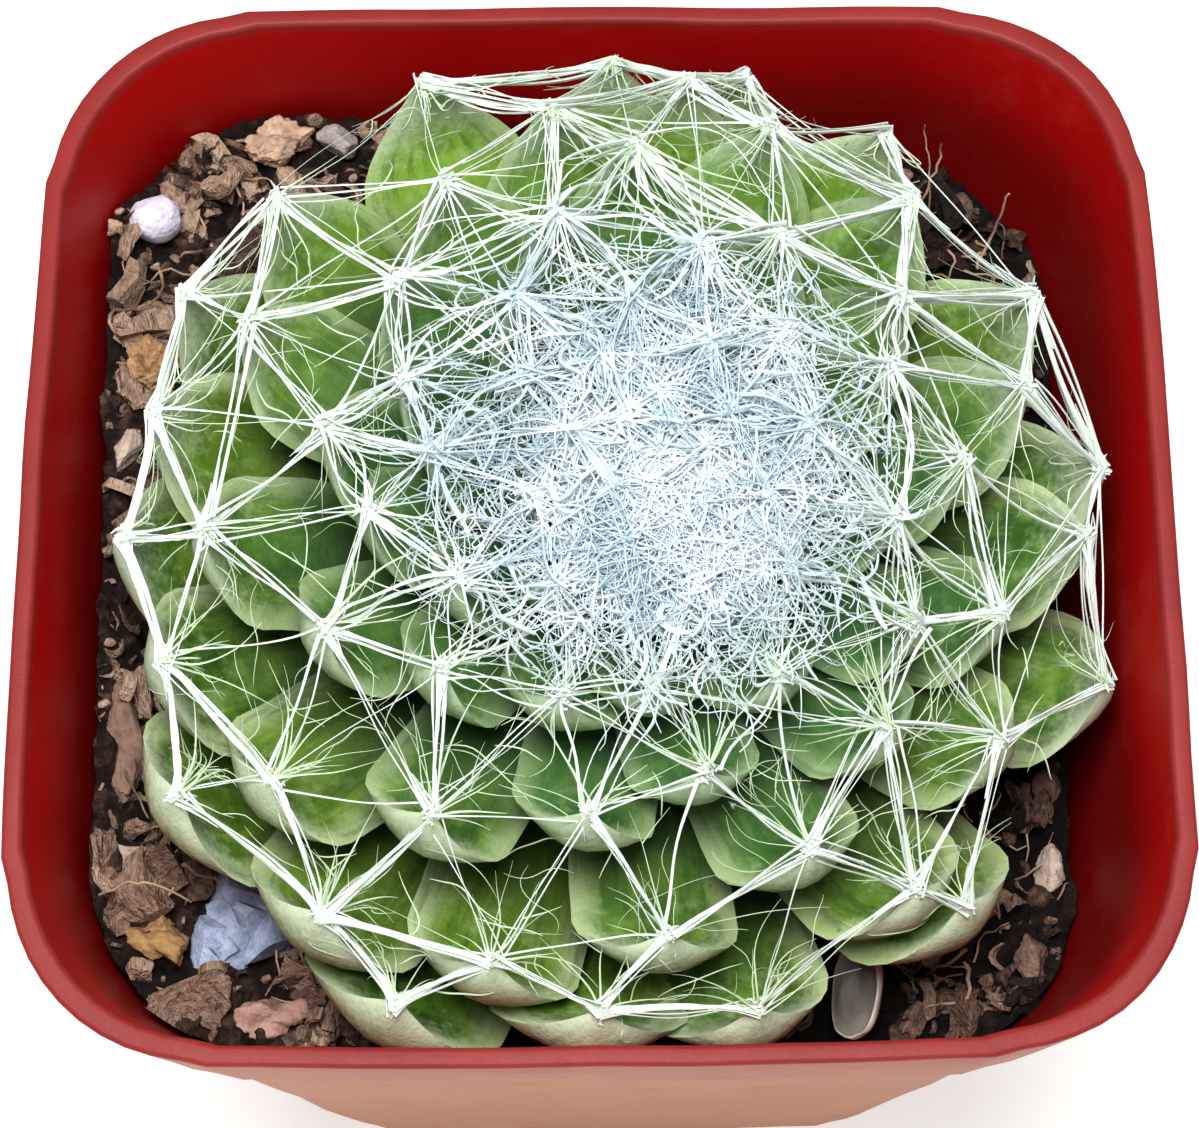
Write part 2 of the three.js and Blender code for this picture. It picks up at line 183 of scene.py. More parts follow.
def clearSelection():
    if bpy.context.mode != "OBJECT":
        bpy.ops.object.mode_set(mode="OBJECT")
    bpy.ops.object.select_all(action="DESELECT")


def select(*pieces):
    clearSelection()
    for piece in pieces:
        piece.select_set(True)
    bpy.context.view_layer.objects.active = pieces[0]


def editing(mode):
    bpy.ops.object.mode_set(mode="EDIT")
    bpy.ops.mesh.select_mode(type=mode)


def editAll(mode):
    editing(mode)
    bpy.ops.mesh.select_all(action="SELECT")


def faceOutward():
    # Turns all faces of the edited mesh outward, and ends the editing
    bpy.ops.mesh.select_all(action="SELECT")
    bpy.ops.mesh.normals_make_consistent(inside=False)
    bpy.ops.object.mode_set(mode="OBJECT")


def pick(piece, kind, test):
    # Selects the faces or edges of the edited mesh that pass the test
    bpy.ops.mesh.select_all(action="DESELECT")
    bpy.ops.object.mode_set(mode="OBJECT")
    for item in getattr(piece.data, kind):
        item.select = test(item)
    bpy.ops.object.mode_set(mode="EDIT")


def applyAll(piece):
    select(piece)
    for modifier in list(piece.modifiers):
        bpy.ops.object.modifier_apply(modifier=modifier.name)


def joinAll(pieces, name):
    select(*pieces)
    if len(pieces) > 1:
        bpy.ops.object.join()
    joined = bpy.context.object
    joined.name = joined.data.name = name
    return joined


def settle(piece, material, nodes=(), smooth=None):
    # Gives a finished piece its material and its body, and hides the nodes that it stands for
    piece.data.materials.clear()
    piece.data.materials.append(material)
    if smooth is not None:
        select(piece)
        bpy.ops.object.shade_smooth_by_angle(angle=math.radians(smooth))
    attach(piece, "root")
    if nodes:
        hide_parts(*nodes)
    return piece


def readPoints(mesh):
    points = np.empty(len(mesh.vertices) * 3)
    mesh.vertices.foreach_get("co", points)
    return points.reshape(-1, 3)


def writePoints(mesh, points):
    mesh.vertices.foreach_set("co", np.ascontiguousarray(points).ravel())
    mesh.update()


def readNormals(mesh):
    normals = np.empty(len(mesh.vertices) * 3)
    mesh.vertex_normals.foreach_get("vector", normals)
    return normals.reshape(-1, 3)


def writeAttribute(mesh, name, values):
    layer = mesh.attributes.get(name) or mesh.attributes.new(name, "FLOAT", "POINT")
    layer.data.foreach_set("value", np.ascontiguousarray(values, dtype=np.float32))


def copyOf(blank, name):
    copy = blank.copy()
    copy.data = blank.data.copy()
    copy.name = copy.data.name = name
    bpy.context.collection.objects.link(copy)
    return copy


def discard(*pieces):
    for piece in pieces:
        bpy.data.objects.remove(piece, do_unlink=True)


def bumpy(points, size, octaves, seed):
    # Even noise from about -1 to 1 at points in mm, its blotches as wide as size
    shift = Vector((seed * 17.3, seed * 5.9, seed * 11.1))
    return np.array([noise.fractal(Vector(point) / size + shift, 0.7, 2.1, octaves)
                     for point in points])


print("camera and light")

camera = {
    "place": (0.3435, -67.119, 201.519),     # mm
    "azimuth": 0.2277,                       # degrees
    "elevation": 67.224,
    "roll": -0.6846,
    "lens": 99.37,
    "sensor": 36,
    "nearest": 0.005,                        # m
}


def makeCamera():
    azimuth = math.radians(camera["azimuth"])
    elevation = math.radians(camera["elevation"])
    roll = math.radians(camera["roll"])
    back = Vector((math.sin(azimuth) * math.cos(elevation),
                   -math.cos(azimuth) * math.cos(elevation), math.sin(elevation)))
    level = Vector((math.cos(azimuth), math.sin(azimuth), 0))
    upright = back.cross(level)
    right = level * math.cos(roll) + upright * math.sin(roll)
    up = upright * math.cos(roll) - level * math.sin(roll)
    data = bpy.data.cameras.new("camera")
    data.lens = camera["lens"]
    data.sensor_width = camera["sensor"]
    data.clip_start = camera["nearest"]
    seen = bpy.data.objects.new("camera", data)
    bpy.context.collection.objects.link(seen)
    turn = Matrix((right, up, back)).transposed().to_4x4()
    seen.matrix_world = Matrix.Translation(Vector(camera["place"]) * mm) @ turn
    bpy.context.scene.camera = seen


makeCamera()

light = {
    "sky": 0.26,
    "aim": (0, 0, 45),
    "overhead": {"place": (-15, 0, 330), "size": 170, "power": 1.15},
    "front": {"place": (-60, -330, 160), "size": 220, "power": 0.3},
}


def softLight(name, place, size, power):
    bpy.ops.object.light_add(type="AREA", location=[value * mm for value in place])
    lamp = bpy.context.object
    lamp.name = name
    lamp.data.shape = "DISK"
    lamp.data.size = size * mm
    lamp.data.energy = power
    lamp.rotation_euler = (Vector(light["aim"]) - Vector(place)).to_track_quat("-Z", "Y").to_euler()


clearSelection()
softLight("overheadLight", **light["overhead"])
softLight("frontLight", **light["front"])
world = bpy.data.worlds.new("studio")
world.use_nodes = True
world.node_tree.nodes["Background"].inputs["Color"].default_value = (1, 1, 1, 1)
world.node_tree.nodes["Background"].inputs["Strength"].default_value = light["sky"]
bpy.context.scene.world = world
bpy.context.scene.view_settings.view_transform = "Standard"

clearSelection()
bpy.ops.mesh.primitive_plane_add(size=3, location=(0, 0, 0))
floor = bpy.context.object
floor.name = "paleFloor"
floorShader = Shader("paleFloor")
floorTone = floorShader.noise(60, 2)
floor.data.materials.append(floorShader.finish({
    "Base Color": floorShader.mix(floorTone, (0.88, 0.88, 0.88, 1), (0.9, 0.9, 0.9, 1)),
    "Roughness": 0.9,
    "Emission Color": (1, 1, 1, 1),
    "Emission Strength": 0.5,
}))

print("rosette")

rosette = {
    "centre": (1.5, -1.3, 47.2),
    "leanForward": 5.8,
    "leanRight": 7.2,
    "leaves": 90,
    "bare": (0, 2, 3, 4, 7, 8, 10),          # places on the spiral without a leaf
    "radius": 26.4,
    "dome": 9.4,
    "widestTip": 89,
    "crowding": 1.09,
    "goldenAngle": 137.48,
    "startTurn": 108.8,
    "apexShift": (0.1, 1.8),
}

# Leaves that stand well off the spiral: degrees further down, and further round.
offSpiral = {
    1: (-4, -1), 9: (-9, 0), 11: (-3, 3), 12: (-5, -9), 13: (-3, -4), 15: (-8, -3), 16: (1, 6),
    17: (2, -2), 18: (10, -4), 20: (5, 3), 21: (14, -1), 24: (5, 3), 29: (8, 4), 35: (-3, -2),
    37: (4, 3), 39: (4, 2), 40: (-5, 0), 41: (-1, -4), 43: (-3, 0), 44: (-5, 0), 45: (-4, -1),
    47: (3, 2), 48: (-6, -2), 52: (-1, 5), 53: (-2, -3), 54: (2, -2), 56: (-2, 2), 62: (3, -5),
    64: (3, 3), 66: (3, -2),
}

# Pairs give the innermost and the outermost leaf.
leaf = {
    "width": (3.6, 11.0),
    "thickness": (1.7, 3.8),
    "rootRadius": (1.2, 5.2),
    "rootHeight": (2.2, -8.4),
    "rise": (72, -9),
    "tipInset": (-10, 30),    # behind and in front
    "taperFrom": 0.7,
    "widestAt": 0.62,
    "footPull": 0.42,
    "tipPull": 0.36,
    "strayAngle": 0.6,
    "strayTurn": 0.8,
    "strayHeight": 0.35,
    "stations": 18,
    "sides": 18,
    "lumps": 0.16,
    "lumpWidth": 3.2,
    "twist": 7,
}


def draw(seed):
    value = math.sin(seed * 12.9898 + 4.1414) * 43758.5453
    return value - math.floor(value)


def spread(seed, size):
    return (draw(seed) * 2 - 1) * size


def mixed(pair, share):
    return pair[0] + (pair[1] - pair[0]) * share


lean = (Matrix.Translation(rosette["centre"])
        @ Matrix.Rotation(math.radians(rosette["leanRight"]), 4, "Y")
        @ Matrix.Rotation(math.radians(rosette["leanForward"]), 4, "X"))


def leafPlan(n):
    # 0 is the lowest outer leaf, the last one stands in the crown
    share = ((rosette["leaves"] - n - 0.5) / rosette["leaves"]) ** rosette["crowding"]
    down, onward = offSpiral.get(n, (0, 0))
    polar = math.radians(share * rosette["widestTip"] + down + spread(n, leaf["strayAngle"]))
    turn = math.radians(rosette["startTurn"] + n * rosette["goldenAngle"] + onward
                        + spread(n + 200, leaf["strayTurn"]))
    tip = np.array((rosette["radius"] * math.sin(polar),
                    rosette["dome"] * math.cos(polar) + spread(n + 400, leaf["strayHeight"])))
    root = np.array((mixed(leaf["rootRadius"], share), mixed(leaf["rootHeight"], share ** 1.2)))
    length = np.linalg.norm(tip - root)
    rise = math.radians(mixed(leaf["rise"], share))
    forward = np.clip((0.3 - math.sin(turn)) / 1.2, 0, 1)
    inset = math.radians(mixed(leaf["tipInset"], forward * forward * (3 - 2 * forward)))
    afterRoot = root + np.array((math.cos(rise), math.sin(rise))) * leaf["footPull"] * length
    beforeTip = tip + np.array((math.sin(inset), -math.cos(inset))) * leaf["tipPull"] * length
    right, back = (shift * (1 - share ** 2) for shift in rosette["apexShift"])
    frame = lean @ Matrix.Translation((right, back, 0)) @ Matrix.Rotation(turn, 4, "Z")
    return {"n": n, "share": share, "polar": polar, "turn": turn, "length": length,
            "curve": np.array((root, afterRoot, beforeTip, tip)), "frame": np.array(frame)}


def alongLeaf(plan, t):
    # Points and unit directions of the leaf's middle line, in its own upright plane
    a, b, c, d = plan["curve"]
    t = np.asarray(t, dtype=float)[:, None]
    point = (1 - t) ** 3 * a + 3 * (1 - t) ** 2 * t * b + 3 * (1 - t) * t ** 2 * c + t ** 3 * d
    way = 3 * (1 - t) ** 2 * (b - a) + 6 * (1 - t) * t * (c - b) + 3 * t ** 2 * (d - c)
    return point, way / np.linalg.norm(way, axis=1)[:, None]


def onLeaf(plan, t, side, lift):
    # From shares of a leaf's length, half width and half thickness to its place, in mm
    t = np.asarray(t, dtype=float)
    middle, way = alongLeaf(plan, t)
    taper = np.clip(t - leaf["taperFrom"], 0, None) / (1 - leaf["taperFrom"])
    wide = np.sin(np.pi / 2 * np.minimum(t / leaf["widestAt"], 1))
    swell = (0.42 + 0.58 * wide ** 1.3) * (1 - taper ** 1.5)
    fat = 0.6 + 0.42 * np.sin(np.pi * t) - 0.38 * t ** 5
    across = side * mixed(leaf["width"], plan["share"]) / 2 * np.maximum(swell, 0.012)
    over = lift * mixed(leaf["thickness"], plan["share"]) / 2 * fat
    twist = math.radians(spread(plan["n"] + 600, leaf["twist"])) * t * (1 - t) * 4
    turned = across * np.cos(twist) - over * np.sin(twist)
    over = across * np.sin(twist) + over * np.cos(twist)
    flat = np.stack((middle[:, 0] - way[:, 1] * over, turned,
                     middle[:, 1] + way[:, 0] * over), axis=1)
    return flat @ plan["frame"][:3, :3].T + plan["frame"][:3, 3]


def makeLeafBlank():
    # A straight bar, 1 long, whose section is flat above and keeled below
    clearSelection()
    bpy.ops.mesh.primitive_circle_add(vertices=leaf["sides"], radius=1, fill_type="NGON",
                                      rotation=(0, math.pi / 2, 0))
    blank = bpy.context.object
    bpy.ops.object.transform_apply(rotation=True)
    editAll("FACE")
    for station in range(leaf["stations"]):
        bpy.ops.mesh.extrude_region_move(
            TRANSFORM_OT_translate={"value": (1 / leaf["stations"], 0, 0)})
    faceOutward()
    points = readPoints(blank.data)
    points[:, 0] = 1 - np.clip(1 - points[:, 0], 0, 1) ** 1.25
    side = np.abs(points[:, 1])
    top = 0.25 + 0.42 * (1 - side ** 2) - 0.16 * (1 - side) ** 2
    keel = 0.25 - 1.3 * (1 - side ** 1.9)
    points[:, 2] = np.where(points[:, 2] > 0, top, keel)
    writePoints(blank.data, points)
    return blank


plans = [leafPlan(n) for n in range(rosette["leaves"]) if n not in rosette["bare"]]


def makeLeaves():
    blank = makeLeafBlank()
    straight = readPoints(blank.data)
    t, side, lift = straight.T
    leaves = []
    for plan in plans:
        piece = copyOf(blank, f"leaf{plan['n']}")
        points = onLeaf(plan, t, side, lift)
        lumps = bumpy(points, leaf["lumpWidth"], 3, plan["n"] + 1) * leaf["lumps"]
        lumps *= np.sin(np.pi * t)
        middle = onLeaf(plan, t, side * 0, lift * 0)
        away = points - middle
        away /= np.maximum(np.linalg.norm(away, axis=1)[:, None], 1e-6)
        writePoints(piece.data, (points + away * lumps[:, None]) * mm)
        writeAttribute(piece.data, "along", t)
        writeAttribute(piece.data, "across", np.abs(side))
        writeAttribute(piece.data, "inner", np.clip((lift - 0.1) * 2, 0, 1))
        writeAttribute(piece.data, "outerShare", np.full(len(t), plan["share"]))
        writeAttribute(piece.data, "tone", np.full(len(t), draw(plan["n"] + 900)))
        leaves.append(piece)
    discard(blank)
    return leaves


# Radius and height of the crown and the stem below it, round an upright line.
coreProfile = ((1.6, -19.2), (2.6, -17.2), (2.6, -11.5), (5.6, -9), (6, -6), (4.6, 0), (2.6, 4))


def makeCore():
    clearSelection()
    radius, height = coreProfile[0]
    x, y, z = rosette["centre"]
    bpy.ops.mesh.primitive_circle_add(vertices=20, radius=radius * mm, fill_type="NGON",
                                      location=(x * mm, y * mm, (z + height) * mm))
    core = bpy.context.object
    bpy.ops.object.transform_apply(location=True)
    editAll("FACE")
    for (before, low), (after, high) in zip(coreProfile, coreProfile[1:]):
        bpy.ops.mesh.extrude_region_move(
            TRANSFORM_OT_translate={"value": (0, 0, (high - low) * mm)})
        wider = after / before
        bpy.ops.transform.resize(value=(wider, wider, 1), center_override=(x * mm, y * mm, 0))
    faceOutward()
    return core


def leafMaterial():
    s = Shader("leafSkin")
    along, across = s.attribute("along"), s.attribute("across")
    inner, outerShare, tone = s.attribute("inner"), s.attribute("outerShare"), s.attribute("tone")
    blotch = s.noise(2.6, 4, 0.6)
    fine = s.noise(0.35, 2)
    behind = s.coordinate("Y")
    lengthwise = s.node("CombineXYZ", {}, {"X": across * (5 * mm), "Y": along * (3 * mm),
                                           "Z": tone * (60 * mm)})
    streak = s.noise(0.7, 4, 0.65, lengthwise)
    inside = s.mix(blotch.between(0.35, 0.65), paint(40, 84, 8), paint(76, 122, 26))
    outside = s.mix(blotch.between(0.35, 0.7), paint(94, 116, 52), paint(160, 174, 108))
    colour = s.mix(inner, outside, inside)
    colour = s.mix(tone.between(0.4, 1.0) * 0.3, colour, paint(128, 158, 40))
    # Painted light: leaves towards the back are painted lighter and yellower, as if lit through
    # from behind, and their pale margins are weaker there.
    colour = s.mix(behind.between(6, 22) * 0.55, colour, paint(132, 178, 48))
    margin = (across + blotch * 0.3 - 0.15).between(0.58, 1.0) * 0.85
    colour = s.mix(margin * (1 - behind.between(4, 20) * 0.55), colour, paint(188, 206, 154))
    colour = s.mix(streak.between(0.5, 0.66) * 0.45, colour, paint(30, 62, 8))
    colour = s.mix(streak.between(0.48, 0.34) * 0.3, colour, paint(148, 178, 66))
    haze = s.noise(1.3, 5, 0.7).between(0.48, 0.72) * along.between(0.45, 0.8) * 0.32
    colour = s.mix(haze, colour, paint(196, 212, 166))
    veil = (along + fine * 0.16 + across * 0.06).between(0.86, 1.1) * 0.7
    colour = s.mix(veil, colour, paint(218, 232, 204))
    # Painted shade: each leaf darkens towards its foot, where the leaves over it shade it.
    footShade = along.between(0.8, 0.36) * 0.88
    colour = s.mix(footShade, colour, paint(20, 40, 4))
    cool = outerShare.between(0.75, 0.35) * 0.4
    colour = s.mix(cool, colour, paint(78, 132, 84))
    spots = s.cells(1.7).between(0.11, 0.05) * s.noise(7, 1).between(0.5, 0.62)
    colour = s.mix(spots * 0.55, colour, paint(74, 92, 34))
    relief = s.noise(0.5, 3) * 0.7 + s.cells(0.22) * 0.3
    return s.finish({
        "Base Color": colour,
        "Roughness": 0.5 + fine * 0.16,
        "Specular IOR Level": 0.2,
        "Normal": s.bump(relief, 0.12, 0.5),
    })


leafSkin = leafMaterial()
leafRosette = joinAll(makeLeaves() + [makeCore()], "leafRosette")
settle(leafRosette, leafSkin, ["rosette"], smooth=60)
leafTree = BVHTree.FromObject(leafRosette, bpy.context.evaluated_depsgraph_get())

print("pot")

pot = {
    "height": 50,
    "baseHalf": 20,
    "rimHalf": 28.5,
    "baseCorner": 7,
    "cornerParts": 12,
    "sideCuts": 15,
    "bow": 0.33,
    "lip": 1.0,
    "collarDepth": 9,
    "collarStep": 0.55,
    "floor": 2,
    "footWidth": 3,
    "footHeight": 0.8,
    "wallRings": 6,
    "edgeRound": 0.26,
    "holeRadius": 1.8,
    "holeReach": 10.5,
    "wobble": 0.22,
    "wobbleWidth": 14,
}


def outerHalf(z):
    return mixed((pot["baseHalf"], pot["rimHalf"]), z / pot["height"])


def outerCorner(z):
    top = pot["baseCorner"] * pot["rimHalf"] / pot["baseHalf"]
    return mixed((pot["baseCorner"], top), z / pot["height"])


def raiseRing(state, half, z):
    # Pulls the selected face up or down to a new height and half width
    bpy.ops.mesh.extrude_region_move(
        TRANSFORM_OT_translate={"value": (0, 0, (z - state["z"]) * mm)})
    wider = half / state["half"]
    bpy.ops.transform.resize(value=(wider, wider, 1), center_override=(0, 0, 0))
    state.update(z=z, half=half)


def makePot():
    clearSelection()
    bpy.ops.mesh.primitive_plane_add(size=2 * pot["baseHalf"] * mm)
    piece = bpy.context.object
    editAll("VERT")
    bpy.ops.mesh.bevel(affect="VERTICES", offset=pot["baseCorner"] * mm,
                       segments=pot["cornerParts"])
    bpy.ops.mesh.select_mode(type="EDGE")
    straight = 2 * (pot["baseHalf"] - pot["baseCorner"]) * mm
    pick(piece, "edges", lambda edge: (piece.data.vertices[edge.vertices[0]].co
                                       - piece.data.vertices[edge.vertices[1]].co).length
         > straight * 0.9)
    bpy.ops.mesh.subdivide(number_cuts=pot["sideCuts"])
    bpy.ops.object.mode_set(mode="OBJECT")
    points = readPoints(piece.data)
    half = pot["baseHalf"] * mm
    for axis in (0, 1):         # the sides bow out in the middle
        on = np.abs(np.abs(points[:, axis]) - half) < 1e-6
        bow = pot["bow"] * mm * (1 - (points[on, 1 - axis] / half) ** 2)
        points[on, axis] += np.sign(points[on, axis]) * bow
    writePoints(piece.data, points)
    editAll("FACE")
    state = {"z": 0, "half": pot["baseHalf"]}
    collarFoot = pot["height"] - pot["collarDepth"]
    for ring in range(1, pot["wallRings"] + 1):
        z = collarFoot * ring / pot["wallRings"]
        inset = pot["collarStep"] * ring / pot["wallRings"]
        raiseRing(state, outerHalf(z) - inset, z)
    collarTop = collarFoot + pot["collarStep"]
    raiseRing(state, outerHalf(collarTop), collarTop)
    for share in (0.5, 1):
        z = mixed((collarTop, pot["height"]), share)
        raiseRing(state, outerHalf(z), z)
    raiseRing(state, pot["rimHalf"] - pot["lip"], pot["height"])
    for ring in range(1, pot["wallRings"] + 3):
        z = mixed((pot["height"], pot["floor"]), ring / (pot["wallRings"] + 2))
        raiseRing(state, outerHalf(z) - pot["lip"], z)
    pick(piece, "polygons", lambda face: face.center.z < 1e-6 and face.area > 1e-4)
    bpy.ops.mesh.inset(thickness=pot["footWidth"] * mm)
    bpy.ops.mesh.inset(thickness=pot["footHeight"] * mm)
    bpy.ops.transform.translate(value=(0, 0, pot["footHeight"] * mm))
    bpy.ops.mesh.select_mode(type="EDGE")
    bpy.ops.mesh.select_all(action="DESELECT")
    bpy.ops.mesh.edges_select_sharp(sharpness=math.radians(38))
    bpy.ops.mesh.bevel(offset=pot["edgeRound"] * mm, segments=4)
    faceOutward()
    drill(piece)
    points = readPoints(piece.data)
    push = bumpy(points / mm, pot["wobbleWidth"], 2, 3) * pot["wobble"] * mm
    out = points * (1, 1, 0)
    out /= np.maximum(np.linalg.norm(out, axis=1)[:, None], 1e-6)
    writePoints(piece.data, points + out * push[:, None])
    writeAttribute(piece.data, "outside", 1 - potInside(points / mm))
    piece.name = piece.data.name = "nurseryPot"
    return piece


def potInside(points):
    # 1 on the inner wall and floor, 0 on the outer wall, in between over the lip
    flat = np.abs(points[:, :2])
    half = outerHalf(points[:, 2])
    corner = outerCorner(points[:, 2])
    beyond = np.maximum(flat - (half - corner)[:, None], 0)
    bow = pot["bow"] * half / pot["baseHalf"] * (1 - (flat.min(axis=1) / half) ** 2)
    reach = np.where(beyond.min(axis=1) > 0, np.linalg.norm(beyond, axis=1) - corner,
                     flat.max(axis=1) - half - bow)
    inside = np.clip((-reach - 0.65) / 0.3, 0, 1)
    return np.where(points[:, 2] < pot["floor"] * 0.7, 0, inside)


def drill(piece):
    reach = pot["holeReach"]
    drills = []
    for x, y in ((0, 0), (reach, reach), (-reach, reach), (-reach, -reach), (reach, -reach)):
        clearSelection()
        bpy.ops.mesh.primitive_cylinder_add(vertices=32, radius=pot["holeRadius"] * mm,
                                            depth=8 * mm, location=(x * mm, y * mm, 2 * mm))
        drills.append(bpy.context.object)
    tool = joinAll(drills, "drill")
    cut = piece.modifiers.new("holes", "BOOLEAN")
    cut.object = tool
    cut.solver = "EXACT"
    applyAll(piece)
    discard(tool)


def plasticMaterial():
    s = Shader("redPlastic")
    outside = s.attribute("outside")
    height = s.coordinate("Z")
    cloud = s.noise(16, 3)
    streak = s.noise(3.5, 3, 0.6, s.stretched(1, 1, 0.25))
    grain = s.noise(0.25, 2)
    inside = s.mix(cloud, paint(146, 2, 4), paint(188, 5, 6))
    dust = s.noise(5, 5, 0.65).between(0.5, 0.75) * 0.14
    inside = s.mix(dust, inside, paint(176, 84, 76))
    # Painted shade: the inner wall darkens towards the soil, where the soil and the leaves shade
    # it.
    darkening = height.between(47.5, 41) * (0.35 + cloud * 0.4)
    inside = s.mix(darkening, inside, paint(66, 2, 3))
    # Painted reflection: the outer wall is painted orange and peach, lighter than the red inside,
    # partly for its own paler tone and partly for warm light reflected off it.
    body = s.mix(cloud * 0.5 + streak * 0.5, paint(150, 84, 42), paint(170, 106, 62))
    collar = s.mix(streak, paint(146, 62, 28), paint(162, 82, 42))
    outerWallAndGlare = s.mix(height.between(40.6, 41.6), body, collar)
    colour = s.mix(outside.between(0.35, 0.8), inside, outerWallAndGlare)
    onLip = height.between(49.2, 49.85)
    lipTone = s.mix(s.noise(6, 4, 0.6), paint(116, 20, 20), paint(152, 46, 42))
    colour = s.mix(onLip, colour, lipTone)
    return s.finish({
        "Base Color": colour,
        "Roughness": 0.42 + grain * 0.12 + dust * 0.5,
        "Specular IOR Level": 0.22,
        "Normal": s.bump(grain * 0.6 + streak * 0.4, 0.06, 0.35),
    })


settle(makePot(), plasticMaterial(), ["pot"], smooth=35)

print("soil")

soil = {
    "middle": 36.2,
    "rise": 5.6,
    "fall": 1.2,
    "reach": 26,
    "level": 0.62,
    "leftShare": 0.55,
    "backShare": 0.35,
    "grid": 150,
    "gap": 0.3,
    "underLeaf": 0.45,
    "lumps": 0.9,
    "lumpWidth": 2.4,
    "crumbs": 0.45,
    "crumbWidth": 0.9,
    "shadeMiddle": (1.5, -1.3, 38),
}


def openSoil(x, y):
    left = np.clip(-x / soil["reach"], -1, 1)
    back = np.clip(y / soil["reach"], -1, 1)
    edge = np.minimum(1, np.maximum(np.abs(x), np.abs(y)) / soil["reach"]) ** 2
    side = np.maximum(0, soil["level"] + soil["leftShare"] * left + soil["backShare"] * back)
    return soil["middle"] + edge * (soil["rise"] * side - soil["fall"] * (1 - side))


def innerWall(z):
    # Half width and corner radius of the pot's inside at a height
    return outerHalf(z) - pot["lip"], outerCorner(z) - pot["lip"] * 0.5


def intoCorner(x, y, half, corner):
    # Draws the corners of a square in to round ones
    flat = half - corner
    beyond = np.stack((np.abs(x) - flat, np.abs(y) - flat), axis=1)
    both = beyond.min(axis=1) > 0
    reach = np.maximum(np.linalg.norm(beyond, axis=1), 1e-9)
    pull = np.where(both, beyond.max(axis=1) / reach, 1)
    newX = np.where(both, np.sign(x) * (flat + beyond[:, 0] * pull), x)
    newY = np.where(both, np.sign(y) * (flat + beyond[:, 1] * pull), y)
    return newX, newY


def underLeaves(x, y, height):
    # The soil stays a little under any leaf that lies over it
    hit = leafTree.ray_cast(Vector((x * mm, y * mm, 0.01)), Vector((0, 0, 1)))[0]
    return height if hit is None else min(height, hit.z / mm - soil["underLeaf"])


def makeSoil():
    half, corner = innerWall(soil["middle"] + 2)
    half -= soil["gap"]
    clearSelection()
    bpy.ops.mesh.primitive_grid_add(x_subdivisions=soil["grid"], y_subdivisions=soil["grid"],
                                    size=2 * half * mm)
    piece = bpy.context.object
    points = readPoints(piece.data) / mm
    x, y = intoCorner(points[:, 0], points[:, 1], half, corner)
    height = openSoil(x, y)
    flat = np.stack((x, y, height), axis=1)
    relief = (bumpy(flat, soil["lumpWidth"], 3, 5) * soil["lumps"]
              + np.abs(bumpy(flat, soil["crumbWidth"], 3, 8)) * soil["crumbs"])
    top = height + relief
    top = np.array([underLeaves(*place) for place in zip(x, y, top)])
    wall = innerWall(top)[0] - soil["gap"]
    widen = np.where(np.maximum(np.abs(x), np.abs(y)) > half * 0.9, wall / half, 1)
    writePoints(piece.data, np.stack((x * widen, y * widen, top), axis=1) * mm)
    writeAttribute(piece.data, "crumb", relief)
    editing("VERT")
    bpy.ops.mesh.select_all(action="DESELECT")
    bpy.ops.mesh.select_non_manifold()
    bottom = pot["floor"] + soil["gap"]
    bpy.ops.mesh.extrude_edges_move(TRANSFORM_OT_translate={"value": (0, 0, -20 * mm)})
    bpy.ops.transform.resize(value=(1, 1, 0), center_override=(0, 0, bottom * mm))
    narrower = (innerWall(bottom)[0] - soil["gap"]) / half
    bpy.ops.transform.resize(value=(narrower, narrower, 1), center_override=(0, 0, 0))
    bpy.ops.mesh.edge_face_add()
    faceOutward()
    piece.name = piece.data.name = "pottingMix"
    return piece


def soilMaterial():
    s = Shader("darkPeat")
    crumb = s.attribute("crumb")
    grit = s.noise(0.7, 5, 0.65)
    colour = s.ramp(grit + crumb * 0.25, (0.3, paint(10, 6, 5)), (0.55, paint(30, 19, 14)),
                    (0.75, paint(70, 49, 38)), (1.0, paint(120, 92, 72)))
    colour = s.mix(s.coordinate("X").between(-8, 8) * 0.7, colour, paint(8, 5, 4))
    # Painted shade: the soil darkens under the plant.
    shadeUnderPlant = s.distance(soil["shadeMiddle"]).between(27, 22)
    colour = s.mix(shadeUnderPlant * 0.92, colour, paint(6, 4, 3))
    return s.finish({
        "Base Color": colour,
        "Roughness": 0.95,
        "Specular IOR Level": 0.2,
        "Normal": s.bump(grit + s.cells(0.6) * 0.5, 0.5, 0.9),
    })


pottingMix = settle(makeSoil(), soilMaterial(), ["soil"], smooth=50)
soilTree = BVHTree.FromObject(pottingMix, bpy.context.evaluated_depsgraph_get())

print("cobweb")

web = {
    "widestOpening": 17,      # degrees, past which no threads cross between leaves
    "clear": 0.07,            # mm that a thread lies over a leaf
    "raised": 0.9,            # how far the innermost threads stand over their tips
    "band": 0.21,             # radii of the threads, from many run together to the finest
    "cable": 0.11,
    "thread": 0.055,
    "fine": 0.034,
    "rim": 0.7,               # the share from which leaves count as outermost
    "calm": 0.42,             # the share from which threads hang straight
    "points": 13,             # along a thread from one tip to the next
    "bandChance": 0.375,      # of a band between two tips, times the sum of their shares
    "crossing": (5, 12.5),    # mm between the tips that a crossing thread may join
    "crossingPoints": 18,
    "fans": 11,
    "tuft": 40,
    "film": 11,               # short threads side by side that widen each band at its ends
    "wavy": 6,
    "lushest": 65,            # degrees round from the right, where the web is thickest
    "beads": ((6.6, -15.4), (12.9, -17.6)),      # where they stand, in mm
    "home": (0.8, -0.6, 50),                     # where the tufts of the outer leaves point
}


